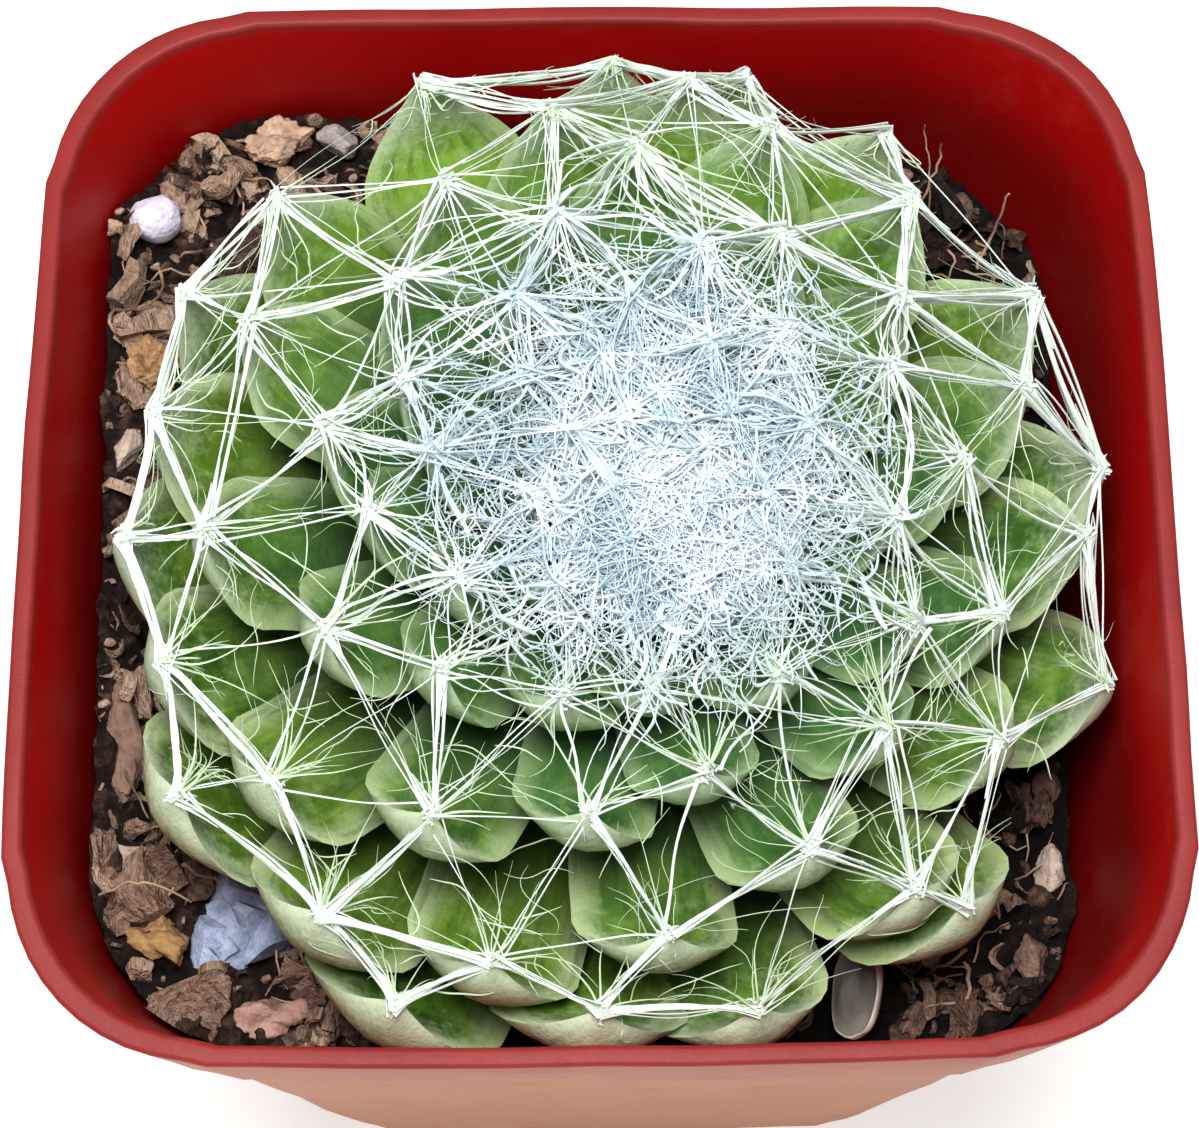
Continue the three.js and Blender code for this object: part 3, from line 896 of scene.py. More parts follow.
def onDome(across, back, height):
    # Places over the crown, laid out flat by their angle from it in degrees, in mm
    angle = np.hypot(across, back)
    turn = np.arctan2(back, across)
    polar = np.radians(angle)
    inward = 1 - np.clip(angle / rosette["widestTip"], 0, 1) ** 2
    right, behind = rosette["apexShift"]
    flat = np.stack((rosette["radius"] * np.sin(polar) * np.cos(turn) + right * inward,
                     rosette["radius"] * np.sin(polar) * np.sin(turn) + behind * inward,
                     rosette["dome"] * np.cos(polar)), axis=1)
    turned = np.array(lean)
    points = flat @ turned[:3, :3].T + turned[:3, 3]
    return points + outward(points) * np.reshape(height, (-1, 1))


def outward(points):
    # The way out of the crown at places on it or over it
    turned = np.array(lean)
    flat = (points - turned[:3, 3]) @ turned[:3, :3]
    away = flat / (rosette["radius"] ** 2, rosette["radius"] ** 2, rosette["dome"] ** 2)
    away /= np.maximum(np.linalg.norm(away, axis=1)[:, None], 1e-9)
    return away @ turned[:3, :3].T


def drape(points):
    # Lifts the points that lie inside a leaf to just over it
    out = outward(points)
    for i, (point, way) in enumerate(zip(points, out)):
        hit = leafTree.ray_cast(Vector((point + way * 5) * mm), Vector(-way), 6.5 * mm)[0]
        if hit is not None:
            above = (np.array(hit) / mm - point) @ way
            if above > -web["clear"]:
                points[i] = point + way * (above + web["clear"])
    return points


def laid(points):
    # Over the leaves, and as smooth as a taut thread
    points = drape(points)
    for each in range(2):
        points[1:-1] = (points[:-2] + 2 * points[1:-1] + points[2:]) / 4
    return points


def lastPoint(plan):
    tip = onLeaf(plan, [0.995], np.zeros(1), np.full(1, 0.2))
    return (tip + outward(tip) * web["raised"] * max(0, 1 - plan["share"] / 0.45))[0]


def strand(start, end, count, sway, sag, rng):
    # A thread between two places: swaying, and lower in the middle
    t = np.linspace(0, 1, count)
    points = start + (end - start) * t[:, None]
    length = np.linalg.norm(end - start)
    for wave in (1, 2, 3):
        push = rng.normal(0, sway * length / wave ** 1.5, 3)
        points += np.sin(np.pi * wave * t)[:, None] * push
    middle = outward((start + end)[None] / 2)[0]
    return points - middle * (np.sin(np.pi * t) * sag * length)[:, None]


def track(start, heading, steps, step, turning, rng):
    # A smooth path in the flat layout
    headings = heading + np.cumsum(rng.normal(0, turning, steps))
    return start + np.cumsum(np.stack((np.cos(headings), np.sin(headings)), axis=1) * step, axis=0)


def makeStrands(name, strands, sides=3):
    # Tubes along lines of points in mm, with a radius at every point
    clearSelection()
    section = bpy.data.curves.new("section", "CURVE")
    section.dimensions = "3D"
    ring = section.splines.new("POLY")
    ring.points.add(sides - 1)
    turns = np.arange(sides) * math.tau / sides
    corners = [(math.cos(turn), math.sin(turn), 0, 1) for turn in turns]
    ring.points.foreach_set("co", (np.array(corners) * (mm, mm, mm, 1)).ravel())
    ring.use_cyclic_u = True
    profile = bpy.data.objects.new("section", section)
    bpy.context.collection.objects.link(profile)
    lines = bpy.data.curves.new(name, "CURVE")
    lines.dimensions = "3D"
    for points, radii in strands:
        line = lines.splines.new("POLY")
        line.points.add(len(points) - 1)
        line.points.foreach_set("co", np.c_[points * mm, np.ones(len(points))].ravel())
        line.points.foreach_set("radius", np.ascontiguousarray(radii, dtype=float))
    lines.bevel_mode = "OBJECT"
    lines.bevel_object = profile
    lines.use_fill_caps = True
    piece = bpy.data.objects.new(name, lines)
    bpy.context.collection.objects.link(piece)
    select(piece)
    bpy.ops.object.convert(target="MESH")
    piece = bpy.context.object
    discard(profile)
    editing("VERT")
    faceOutward()
    return piece


def neighbours():
    # Pairs of leaves whose tips stand side by side
    flat = [Vector(place) for place in flatTips]
    pairs = set()
    for face in delaunay_2d_cdt(flat, [], [], 0, 1e-6)[2]:
        sides = [(flat[face[i]] - flat[face[i - 1]]).length for i in range(3)]
        half = sum(sides) / 2
        area = math.sqrt(max(half * math.prod(half - side for side in sides), 1e-9))
        if math.prod(sides) / (4 * area) < web["widestOpening"]:
            pairs |= {tuple(sorted((face[i], face[i - 1]))) for i in range(3)}
    return sorted(pairs)


def lush(a, b):
    # How thick the web grows between two tips
    across, back = (flatTips[a] + flatTips[b]) / 2
    return 1 + 0.45 * math.cos(math.atan2(back, across) - math.radians(web["lushest"]))


def onRim(a, b):
    return min(plans[a]["share"], plans[b]["share"]) > web["rim"]


def chooseBands(pairs, rng):
    return [(a, b) for a, b in pairs
            if onRim(a, b) or rng.random() < web["bandChance"] * (plans[a]["share"]
                                                                  + plans[b]["share"])]


def makeCables(pairs, bands, rng):
    # Threads from each tip to the next, many of them run together at one end
    strands = []
    count = web["points"]
    t = np.linspace(0, 1, count)
    for a, b in pairs:
        outer = (plans[a]["share"] + plans[b]["share"]) / 2
        rim = onRim(a, b)
        if (a, b) in bands:
            flared = (t if rng.random() < 0.5 else 1 - t) ** 1.6
            for each in range(rng.integers(3, 6) if rim else rng.integers(1, 4)):
                ends = rng.normal(0, 0.09, (2, 3))
                line = laid(strand(tips[a] + ends[0], tips[b] + ends[1], count, 0.012,
                                   rng.uniform(0, 0.05), rng))
                thick = web["band"] * rng.uniform(0.4, 1.2) * (0.28 + 0.72 * flared)
                strands.append((line, thick * rng.uniform(0.8, 1.2, count)))
        sway, most = (0.02, 6) if outer > web["calm"] else (0.09, 8)
        for each in range(round(rng.uniform(most - 6, most) * lush(a, b))):
            ends = rng.normal(0, 0.14 if rim else 0.26, (2, 3))
            line = laid(strand(tips[a] + ends[0], tips[b] + ends[1], count, sway,
                               rng.uniform(-0.01, 0.08), rng))
            thick = web["cable"] if rng.random() < 0.4 * lush(a, b) else web["thread"]
            widened = 0.75 + 0.6 * np.abs(2 * t - 1) ** 2
            strands.append((line, thick * rng.uniform(0.5, 1.2) * widened))
    return strands


def makeCrossings(pairs, rng):
    # Finer threads that pass over one tip to the next but one
    strands = []
    shortest, longest = web["crossing"]
    count = web["crossingPoints"]
    for a in range(len(plans)):
        for b in range(a + 1, len(plans)):
            length = np.linalg.norm(tips[a] - tips[b])
            chance = 0.4 * lush(a, b) ** 2
            if (shortest < length < longest and (a, b) not in pairs
                    and rng.random() < chance):
                for each in range(rng.integers(1, 3)):
                    ends = rng.normal(0, 0.2, (2, 3))
                    line = laid(strand(tips[a] + ends[0], tips[b] + ends[1], count, 0.016,
                                       rng.uniform(-0.01, 0.05), rng))
                    widened = 0.7 + 0.8 * np.abs(np.linspace(-1, 1, count)) ** 3
                    strands.append((line, web["thread"] * rng.uniform(0.4, 1.4) * widened))
    return strands


def makeFans(rng):
    # Threads that fan out from each tip over the faces further in, and fork
    strands = []
    for place, tip in zip(flatTips, tips):
        inward = math.atan2(-place[1], -place[0])
        for each in range(round(web["fans"] * rng.uniform(0.4, 1.4))):
            steps = rng.integers(7, 15)
            heading = inward + rng.normal(0, 0.75)
            way = track(place, heading, steps, rng.uniform(0.7, 1.6), 0.1, rng)
            dip = rng.uniform(0.1, 2.2) * np.sin(np.linspace(0, 2.6, steps))
            line = laid(np.vstack((tip + rng.normal(0, 0.15, 3), onDome(*way.T, 0.1 - dip))))
            thick = web["thread"] * rng.uniform(0.45, 1.15)
            strands.append((line, thick * np.linspace(1.5, 0.2, steps + 1)))
            if rng.random() < 0.5:
                fork = rng.integers(3, steps - 3)
                turned = heading + rng.choice((-1, 1)) * rng.uniform(0.4, 0.9)
                way = track(way[fork], turned, 6, 0.95, 0.08, rng)
                branch = np.vstack((line[fork + 1], onDome(*way.T, -rng.uniform(0.2, 2))))
                strands.append((laid(branch), thick * np.linspace(0.9, 0.15, 7)))
    return strands


def makeWavy(rng):
    # Loose threads that wander over the faces of the leaves
    strands = []
    for plan, place in zip(plans, flatTips):
        if plan["share"] < 0.25:
            continue
        for each in range(web["wavy"]):
            steps = rng.integers(9, 19)
            start = place * rng.uniform(0.7, 0.98) + rng.normal(0, 4, 2)
            way = track(start, rng.uniform(0, math.tau), steps, rng.uniform(0.55, 1.1), 0.26, rng)
            line = laid(onDome(*way.T, -rng.uniform(0, 3)))
            slender = np.sin(np.linspace(0.1, 3.05, steps)) ** 0.6
            strands.append((line, web["fine"] * rng.uniform(0.6, 1.5) * slender))
    return strands


def makeBeads(rng):
    # Small clear beads on stalks, standing on two of the front leaves
    strands = []
    for x, y in web["beads"]:
        hit = leafTree.ray_cast(Vector((x * mm, y * mm, 0.07)), Vector((0, 0, -1)))[0]
        foot = np.array(hit) / mm
        t = np.linspace(0, 1, 12)[:, None]
        bend = rng.normal(0, 0.15, 3) * (1, 1, 0)
        line = foot + (0, 0, 1.3) * t + bend * t ** 2
        bead = 0.2 * np.sqrt(np.clip(1 - ((t[:, 0] - 0.85) / 0.17) ** 2, 0, 1))
        strands.append((line, np.maximum(bead, 0.04)))
    return strands


def makeTufts(bands, rng):
    # Short hairs packed round each tip, and those that spread from it into its bands
    strands = []
    t = np.linspace(0, 1, 4)[:, None]
    for a, b in bands + [(b, a) for a, b in bands]:
        for each in range(round(web["film"] * lush(a, b) * rng.uniform(0.3, 1.3))):
            start = tips[a] + rng.normal(0, 0.2, 3)
            end = tips[a] + (tips[b] - tips[a]) * rng.uniform(0.1, 0.36) + rng.normal(0, 0.05, 3)
            thick = rng.uniform(0.06, 0.11) * np.linspace(1, 0.25, 4)
            strands.append((laid(start + (end - start) * t), thick))
    t = np.linspace(0, 1, 5)[:, None]
    for plan, tip in zip(plans, tips):
        out = outward(tip[None])[0]
        home = np.array(web["home"]) - tip
        home /= np.linalg.norm(home)
        for each in range(web["tuft"]):
            way = rng.normal(0, 1, 3) + out * 0.2 + home * 0.7 * plan["share"]
            way /= np.linalg.norm(way)
            length = rng.uniform(0.08, 0.32) * (0.6 + 0.5 * plan["share"])
            curl = rng.normal(0, 0.8, 3)
            line = tip + rng.normal(0, 0.15, 3) + (way * t + curl * t ** 2) * length
            thick = np.array((0.12, 0.11, 0.09, 0.07, 0.02))
            strands.append((line, thick * rng.uniform(0.6, 1.2)))
    return strands


# Places and spreads in degrees of the crown, radii in mm.
mat = {
    "threads": 6200,
    "core": {"middle": (2.4, -5), "spread": 6, "share": 0.4},
    "ring": {"middle": (1.5, -2.2), "spread": 12},
    "reach": 27,
    "thick": 0.041,
    "turning": 0.7,
    "felt": 13.5,
    "feltGrid": 92,
    "feltThick": 0.5,
    "top": (1.6, 0.5, 56.6),          # mm
}


def makeMat(count, low, high, rng):
    # The woolly middle, where the threads of all the young leaves run into each other
    strands = []
    while len(strands) < count:
        zone = mat["core" if rng.random() < mat["core"]["share"] else "ring"]
        start = rng.normal(zone["middle"], zone["spread"])
        if np.hypot(*start) > mat["reach"]:
            continue
        steps = rng.integers(5, 10)
        way = track(start, rng.uniform(0, math.tau), steps, rng.uniform(0.5, 1.3),
                    mat["turning"], rng)
        heights = rng.uniform(low, high) + np.cumsum(rng.normal(0, (high - low) * 0.1, steps))
        line = onDome(*way.T, np.clip(heights, low, high))
        slender = np.sin(np.linspace(0.35, 2.8, steps)) ** 0.5
        strands.append((laid(line), mat["thick"] * math.exp(rng.normal(0, 0.5)) * slender))
    return strands


def makeFelt():
    # The matted wool deep in the crown, under the loose threads
    clearSelection()
    bpy.ops.mesh.primitive_grid_add(x_subdivisions=mat["feltGrid"],
                                    y_subdivisions=mat["feltGrid"], size=2)
    felt = bpy.context.object
    points = readPoints(felt.data)
    square = np.abs(points[:, :2]).max(axis=1)
    reach = np.maximum(np.linalg.norm(points[:, :2], axis=1), 1e-9)
    disc = points[:, :2] * (square / reach)[:, None]
    flat = np.c_[disc, np.zeros(len(disc))]
    ragged = 1 + 0.3 * bumpy(flat, 0.3, 4, 21) * square
    across, back = (disc * mat["felt"] * ragged[:, None] + mat["core"]["middle"]).T
    edge = np.clip(square, 0, 1) ** 2.5
    height = 0.15 - 2.4 * edge + 0.55 * bumpy(flat, 0.16, 4, 22)
    writePoints(felt.data, onDome(across, back, height) * mm)
    felt.name = felt.data.name = "crownFelt"
    thick = felt.modifiers.new("wool", "SOLIDIFY")
    thick.thickness = mat["feltThick"] * mm
    applyAll(felt)
    editing("FACE")
    faceOutward()
    return felt


def feltMaterial():
    s = Shader("crownFelt")
    clump = s.noise(1.1, 5, 0.7)
    fibre = s.noise(0.25, 3, 0.7)
    colour = s.ramp(clump * 0.6 + fibre * 0.4, (0.34, paint(92, 116, 122)),
                    (0.45, paint(176, 198, 210)), (0.58, paint(226, 238, 246)))
    return s.finish({
        "Base Color": colour,
        "Roughness": 0.85 + fibre * 0.1,
        "Normal": s.bump(clump + fibre, 0.35, 0.9),
    })


def hairMaterial(name, dark, light):
    s = Shader(name)
    blotch = s.noise(3.5, 3)
    fine = s.noise(0.6, 2)
    fromCrown = s.distance(mat["top"])
    outer = s.mix(fine, dark, light)
    inner = s.mix(blotch.between(0.35, 0.65), paint(192, 210, 218), paint(232, 242, 246))
    colour = s.mix(fromCrown.between(8, 15), inner, outer)
    return s.finish({
        "Base Color": colour,
        "Roughness": 0.6 + fine * 0.2,
        "Specular IOR Level": 0.3,
        "Normal": s.bump(fine, 0.02, 0.3),
    })


flatTips = np.array([(math.degrees(plan["polar"]) * math.cos(plan["turn"]),
                      math.degrees(plan["polar"]) * math.sin(plan["turn"])) for plan in plans])
tips = np.array([lastPoint(plan) for plan in plans])
whiteHair = hairMaterial("whiteHair", paint(204, 220, 206), paint(240, 246, 242))
fineHair = hairMaterial("fineHair", paint(172, 202, 152), paint(226, 240, 216))
matHair = hairMaterial("matHair", paint(180, 204, 202), paint(224, 236, 238))
settle(makeFelt(), feltMaterial(), ["cobweb"], smooth=80)
pairs = neighbours()
rng = np.random.default_rng(7)
bands = chooseBands(pairs, rng)
hairPieces = {
    "webCables": (makeCables(pairs, bands, rng), whiteHair),
    "webCrossings": (makeCrossings(pairs, rng), whiteHair),
    "webThreads": (makeFans(rng) + makeWavy(rng), fineHair),
    "tipTufts": (makeTufts(bands, rng) + makeBeads(rng), whiteHair),
    "crownMatLow": (makeMat(mat["threads"] // 2, -0.9, 0.3, rng), matHair),
    "crownMat": (makeMat(mat["threads"] // 2, -0.3, 0.9, rng), matHair),
}
for name, (strands, hair) in hairPieces.items():
    settle(makeStrands(name, strands), hair, ["cobweb"], smooth=80)

print("chips and fibres")

# Places across and back and half-sizes in mm, and turns in degrees.
loosePieces = {
    "perlite_grain": {"at": (-23.8, 19.7), "size": (1.3, 1.25, 1.2), "turn": 10, "planes": 9,
                      "rough": 0.04, "look": "perlite", "cuts": (0.84, 0.97)},
    "stone_chip": {"at": (-18.5, -18.8), "size": (2.2, 2.55, 1.7), "turn": 4, "planes": 9,
                   "rough": 0, "look": "blueStone", "lobes": 6, "cuts": (0.42, 0.8)},
    "tan_crumb": {"at": (-17.1, 24.5), "size": (1.5, 1.0, 1.0), "turn": 15, "planes": 6,
                  "rough": 0.16, "look": "tanCrumb", "lobes": 4},
    "back_chip": {"at": (-13.9, 24.7), "size": (1.3, 0.85, 0.75), "turn": -20, "planes": 6,
                  "rough": 0.08, "look": "greyChip"},
    "golden_crumb": {"at": (-23.7, 11.2), "size": (1.1, 1.3, 1.0), "turn": 30, "planes": 4,
                     "rough": 0.2, "look": "goldenCrumb", "lobes": 4},
    "pale_chip": {"at": (-24.9, 6.1), "size": (0.7, 1.4, 0.5), "turn": -20, "planes": 6,
                  "rough": 0.1, "look": "paleChip"},
    "bark_chip_left": {"at": (-23.8, -9.6), "size": (1.2, 2.4, 0.9), "turn": 12, "planes": 8,
                       "rough": 0.14, "look": "bark", "lobes": 3},
    "bark_chip_low": {"at": (-22.4, -19.7), "size": (1.7, 1.0, 0.8), "turn": -25, "planes": 8,
                      "rough": 0.12, "look": "ochreChip", "lobes": 3},
    "bark_chip_corner": {"at": (-16.8, -23.4), "size": (1.8, 0.9, 0.8), "turn": 10, "planes": 7,
                         "rough": 0.12, "look": "pinkChip", "lobes": 4},
    "pink_pebble": {"at": (-5.8, -24.2), "size": (0.6, 0.5, 0.45), "turn": 0, "planes": 3,
                    "rough": 0.05, "look": "pinkChip"},
    "grey_pebble": {"at": (17.4, -19.4), "size": (1.1, 0.9, 0.8), "turn": 0, "planes": 4,
                    "rough": 0.1, "look": "greyChip"},
    "bark_chip_right": {"at": (22.3, -19.6), "size": (0.9, 1.3, 0.8), "turn": 15, "planes": 7,
                        "rough": 0.14, "look": "bark"},
    "bark_chip_edge": {"at": (23.5, -14.9), "size": (0.8, 1.2, 0.6), "turn": -15, "planes": 6,
                       "rough": 0.12, "look": "paleChip"},
    "edge_pebble": {"at": (23.6, -10.4), "size": (0.7, 0.8, 0.6), "turn": 0, "planes": 3,
                    "rough": 0.08, "look": "bark"},
}

chips = {
    "count": 2500,
    "strewn": 26.5,           # mm either way from the pot's middle
    "nearest": 13,            # mm from the plant's middle
    "half": 0.44,             # half the length of a middling chip
    "finest": 0.16,
    "widest": 1.5,
    "shade": 21,              # mm from the plant's middle where its shade ends
}

husk = {
    "at": (13.0, -21.7),
    "size": (1.55, 2.95, 1.15),
    "turned": (8, -44, -10),   # degrees about X, then Y, then Z
    "raised": 2.15,
    "wall": 0.14,
}


def makeFlake(seed):
    # A thin torn bit of bark
    clearSelection()
    bpy.ops.mesh.primitive_cube_add(size=2)
    flake = bpy.context.object
    editAll("VERT")
    bpy.ops.mesh.subdivide(number_cuts=1)
    bpy.ops.transform.vertex_random(offset=0.75, seed=seed)
    bpy.ops.mesh.vertices_smooth(factor=0.25)
    bpy.ops.object.mode_set(mode="OBJECT")
    points = readPoints(flake.data)
    points[:, 2] += 0.9 * points[:, 0] ** 2 * (1 if seed % 2 else -1)
    points[:, 1] *= 1 - 0.35 * points[:, 0] * (seed % 3 - 1)
    writePoints(flake.data, points * (1.15, 0.72, 0.34))
    return flake


def makeShred(seed):
    # A torn strip, bent and twisted
    rng = np.random.default_rng(seed + 40)
    clearSelection()
    bpy.ops.mesh.primitive_grid_add(x_subdivisions=7, y_subdivisions=1, size=2)
    shred = bpy.context.object
    along, across = readPoints(shred.data).T[:2]
    across = across * 0.3 * (1.1 - 0.6 * along ** 2) + rng.normal(0, 0.06, len(along))
    twist = rng.uniform(-1.6, 1.6) * along
    bend = rng.uniform(-0.6, 0.6) * along ** 2 + 0.14 * np.sin(along * rng.uniform(2, 5))
    sway = rng.uniform(-0.35, 0.35) * along ** 2
    writePoints(shred.data, np.stack((along, across * np.cos(twist) + sway,
                                      across * np.sin(twist) + bend), axis=1))
    wall = shred.modifiers.new("wall", "SOLIDIFY")
    wall.thickness = 0.14
    applyAll(shred)
    return shred


def makeCurl(seed):
    # A shaving that has rolled up
    clearSelection()
    bpy.ops.mesh.primitive_plane_add(size=1, location=(0.7, 0, 0))
    curl = bpy.context.object
    bpy.ops.object.transform_apply(location=True)
    editAll("FACE")
    bpy.ops.transform.resize(value=(0.16, 0.7, 1), center_override=(0.7, 0, 0))
    bpy.ops.mesh.spin(steps=7, angle=2.6 + seed * 0.5, center=(0, 0, 0), axis=(0, 1, 0))
    faceOutward()
    points = readPoints(curl.data)
    points[:, 1] += 0.3 * points[:, 0]
    writePoints(curl.data, points)
    return curl


def makeGranule(seed):
    clearSelection()
    bpy.ops.mesh.primitive_ico_sphere_add(subdivisions=2, radius=0.8)
    granule = bpy.context.object
    points = readPoints(granule.data)
    writePoints(granule.data, points * (1 + 0.28 * bumpy(points, 0.9, 2, seed))[:, None])
    return granule


def turnOf(rng, tilt):
    return np.array(Matrix.Rotation(rng.uniform(0, math.tau), 3, "Z")
                    @ Matrix.Rotation(rng.normal(0, tilt), 3, "X")
                    @ Matrix.Rotation(rng.normal(0, tilt), 3, "Y"))


def soilUnder(x, y):
    # The top of the soil, or None where a leaf leaves no room over it
    hit = soilTree.ray_cast(Vector((x * mm, y * mm, 0.06)), Vector((0, 0, -1)))[0]
    if hit is None:
        return None
    roof = leafTree.ray_cast(hit, Vector((0, 0, 1)), 1.3 * mm)[0]
    return hit.z / mm if roof is None else None


def insidePot(x, y, margin):
    half, corner = innerWall(openSoil(x, y))
    beyond = np.maximum(np.abs((x, y)) - (half - corner), 0)
    return max(abs(x), abs(y)) < half - margin and np.hypot(*beyond) < corner - margin


def withinWall(points):
    # Holds places in mm inside the pot's wall
    half, corner = innerWall(points[:, 2])
    flat = (half - corner)[:, None]
    side = np.abs(points[:, :2])
    beyond = np.maximum(side - flat, 0)
    reach = np.maximum(np.linalg.norm(beyond, axis=1), 1e-9)
    pull = np.minimum(1, (corner - soil["gap"]) / reach)[:, None]
    points[:, :2] = np.sign(points[:, :2]) * (np.minimum(side, flat) + beyond * pull)
    return points


def clearOfStones(x, y, half):
    spots = [(shape["at"], max(shape["size"][:2])) for shape in loosePieces.values()]
    spots.append((husk["at"], husk["size"][1]))
    return all(math.dist((x, y), at) > 0.8 * reach + 0.75 * half for at, reach in spots)


def fromPlant(x, y):
    return math.dist((x, y), rosette["centre"][:2])


# Kinds of chip: how many shapes there are of each, and how likely each shape is.
chipKinds = ((makeFlake, 8, 0.055), (makeShred, 6, 0.06), (makeCurl, 3, 0.04),
             (makeGranule, 2, 0.04))


def scatterChips():
    rng = np.random.default_rng(12)
    blanks = [make(seed) for make, count, chance in chipKinds for seed in range(count)]
    likely = [chance for make, count, chance in chipKinds for seed in range(count)]
    pieces = []
    while len(pieces) < chips["count"]:
        x, y = rng.uniform(-chips["strewn"], chips["strewn"], 2)
        away = fromPlant(x, y)
        darkening = np.clip((x + 10) / 24, 0, 1)         # darker and finer towards the right
        outer = darkening * np.clip((away - chips["shade"]) / 3, 0, 1)    # along the right wall
        thin = 0.45 * darkening - 0.35 * outer
        if away < chips["nearest"] or not insidePot(x, y, 0.5) or rng.random() < thin:
            continue
        half = chips["half"] * math.exp(rng.normal(0, 0.55)) * (1.25 - 0.4 * darkening + 0.3 * outer)
        half = float(np.clip(half, chips["finest"], chips["widest"]))
        half *= 1 if insidePot(x, y, half * 0.8 + 0.3) else 0.45
        height = soilUnder(x, y)
        if height is None or not clearOfStones(x, y, half):
            continue
        piece = copyOf(blanks[rng.choice(len(blanks), p=likely)], f"chip{len(pieces)}")
        shape = half * rng.uniform((0.8, 0.5, 0.6), (1.35, 1.2, 1.6))
        points = (readPoints(piece.data) * shape) @ turnOf(rng, 0.7).T
        points += (x, y, height + half * rng.uniform(0.0, 0.6))
        writePoints(piece.data, withinWall(points) * mm)
        shade = 0.3 * np.clip((chips["shade"] - away) / 4, 0, 1)
        tone = 0.66 - 0.62 * darkening - shade + 0.32 * outer
        tone = float(np.clip(rng.normal(tone, 0.24), 0, 1))
        writeAttribute(piece.data, "tone", np.full(len(points), tone))
        pieces.append(piece)
    discard(*blanks)
    return joinAll(pieces, "barkChips")


def chipMaterial():
    s = Shader("barkChips")
    tone = s.attribute("tone")
    grain = s.noise(0.5, 4, 0.65)
    fibre = s.noise(0.22, 2, 0.6, s.stretched(1, 0.25, 1))
    colour = s.ramp(tone * 0.5 + grain * 0.5, (0.24, paint(16, 9, 7)), (0.4, paint(62, 42, 33)),
                    (0.54, paint(120, 94, 78)), (0.78, paint(190, 162, 138)))
    colour = s.mix(fibre.between(0.55, 0.75) * 0.5, colour, paint(48, 32, 26))
    return s.finish({
        "Base Color": colour,
        "Roughness": 0.72 + grain * 0.2,
        "Specular IOR Level": 0.3,
        "Normal": s.bump(grain + fibre, 0.3, 1.0),
    })


# A root that arches over the soil and stems along the back wall: their ends, how they arch and
# their radius, in mm.
stalks = (
    (((-25.2, -17.8, 41.6), (-20.6, -18.2, 41.6)), (0, 0.4, 1.3), 0.08),
    (((17.2, 20.4, 41.2), (18.9, 23.4, 44.6)), (0.3, 0, 0), 0.09),
    (((18.3, 20.8, 41.2), (17.8, 24.2, 45.3)), (0.2, 0.1, 0), 0.06),
    (((20.8, 17.6, 41), (22.3, 20.4, 44.4)), (0.2, 0.2, 0.2), 0.1),
)


fibres = {
    "count": 170,
    "strewn": 25.5,           # mm either way from the pot's middle
    "nearest": 20,            # mm from the plant's middle
}


def makeFibres():
    # Bits of root and stalk lying about, as lines of points in mm
    rng = np.random.default_rng(31)
    strands = []
    while len(strands) < fibres["count"]:
        x, y = rng.uniform(-fibres["strewn"], fibres["strewn"], 2)
        if fromPlant(x, y) < fibres["nearest"] or not insidePot(x, y, 1.2):
            continue
        steps = rng.integers(5, 10)
        headings = rng.uniform(0, math.tau) + np.cumsum(rng.normal(0, 0.45, steps))
        length = rng.uniform(0.25, 0.75)
        across = x + np.cumsum(np.cos(headings)) * length
        back = y + np.cumsum(np.sin(headings)) * length
        heights = [soilUnder(*place) if insidePot(*place, 0.4) else None
                   for place in zip(across, back)]
        if None in heights:
            continue
        arch = rng.uniform(0.1, 1.1) * np.sin(np.linspace(0.3, 2.9, steps))
        evened = (np.mean(heights) + np.array(heights)) / 2
        points = np.stack((across, back, evened + arch + 0.25), axis=1)
        thick = rng.uniform(0.04, 0.13) * np.linspace(1.2, 0.6, steps)
        strands.append((withinWall(points), thick))
    for ends, arch, thick in stalks:
        t = np.linspace(0, 1, 12)[:, None]
        points = np.array(ends[0]) * (1 - t) + np.array(ends[1]) * t
        points += np.sin(np.pi * t) * arch + rng.normal(0, 0.05, (12, 3))
        strands.append((points, thick * np.linspace(1.1, 0.7, 12)))
    return makeStrands("rootFibres", strands, 5)


def fibreMaterial():
    s = Shader("rootFibre")
    tone = s.noise(2.5, 3)
    colour = s.mix(tone.between(0.35, 0.65), paint(98, 74, 60), paint(188, 158, 130))
    return s.finish({
        "Base Color": colour,
        "Roughness": 0.6 + tone * 0.25,
        "Normal": s.bump(s.noise(0.15, 2), 0.04, 0.6),
    })


settle(scatterChips(), chipMaterial(), smooth=50)
settle(makeFibres(), fibreMaterial(), smooth=80)

print("loose pieces")

# Dark and light colours, the width of a blotch in mm, how glossy, and the record's slot.
looks = {
    "perlite": (paint(196, 192, 218), paint(238, 236, 250), 0.9, 0.8, "perlite"),
    "blueStone": (paint(86, 98, 130), paint(184, 198, 224), 0.9, 0.42, "stone"),
    "greyChip": (paint(104, 96, 96), paint(178, 168, 160), 0.8, 0.6, "stone"),
    "tanCrumb": (paint(96, 64, 52), paint(216, 182, 154), 0.7, 0.75, "bark"),
    "goldenCrumb": (paint(84, 54, 32), paint(190, 148, 104), 0.6, 0.75, "bark"),
    "bark": (paint(62, 42, 34), paint(142, 112, 94), 0.8, 0.75, "bark"),
    "ochreChip": (paint(104, 72, 40), paint(176, 138, 88), 0.9, 0.7, "bark"),
    "pinkChip": (paint(112, 72, 62), paint(186, 146, 132), 0.9, 0.65, "bark"),
    "paleChip": (paint(132, 112, 102), paint(206, 186, 168), 0.8, 0.6, "husk"),
}


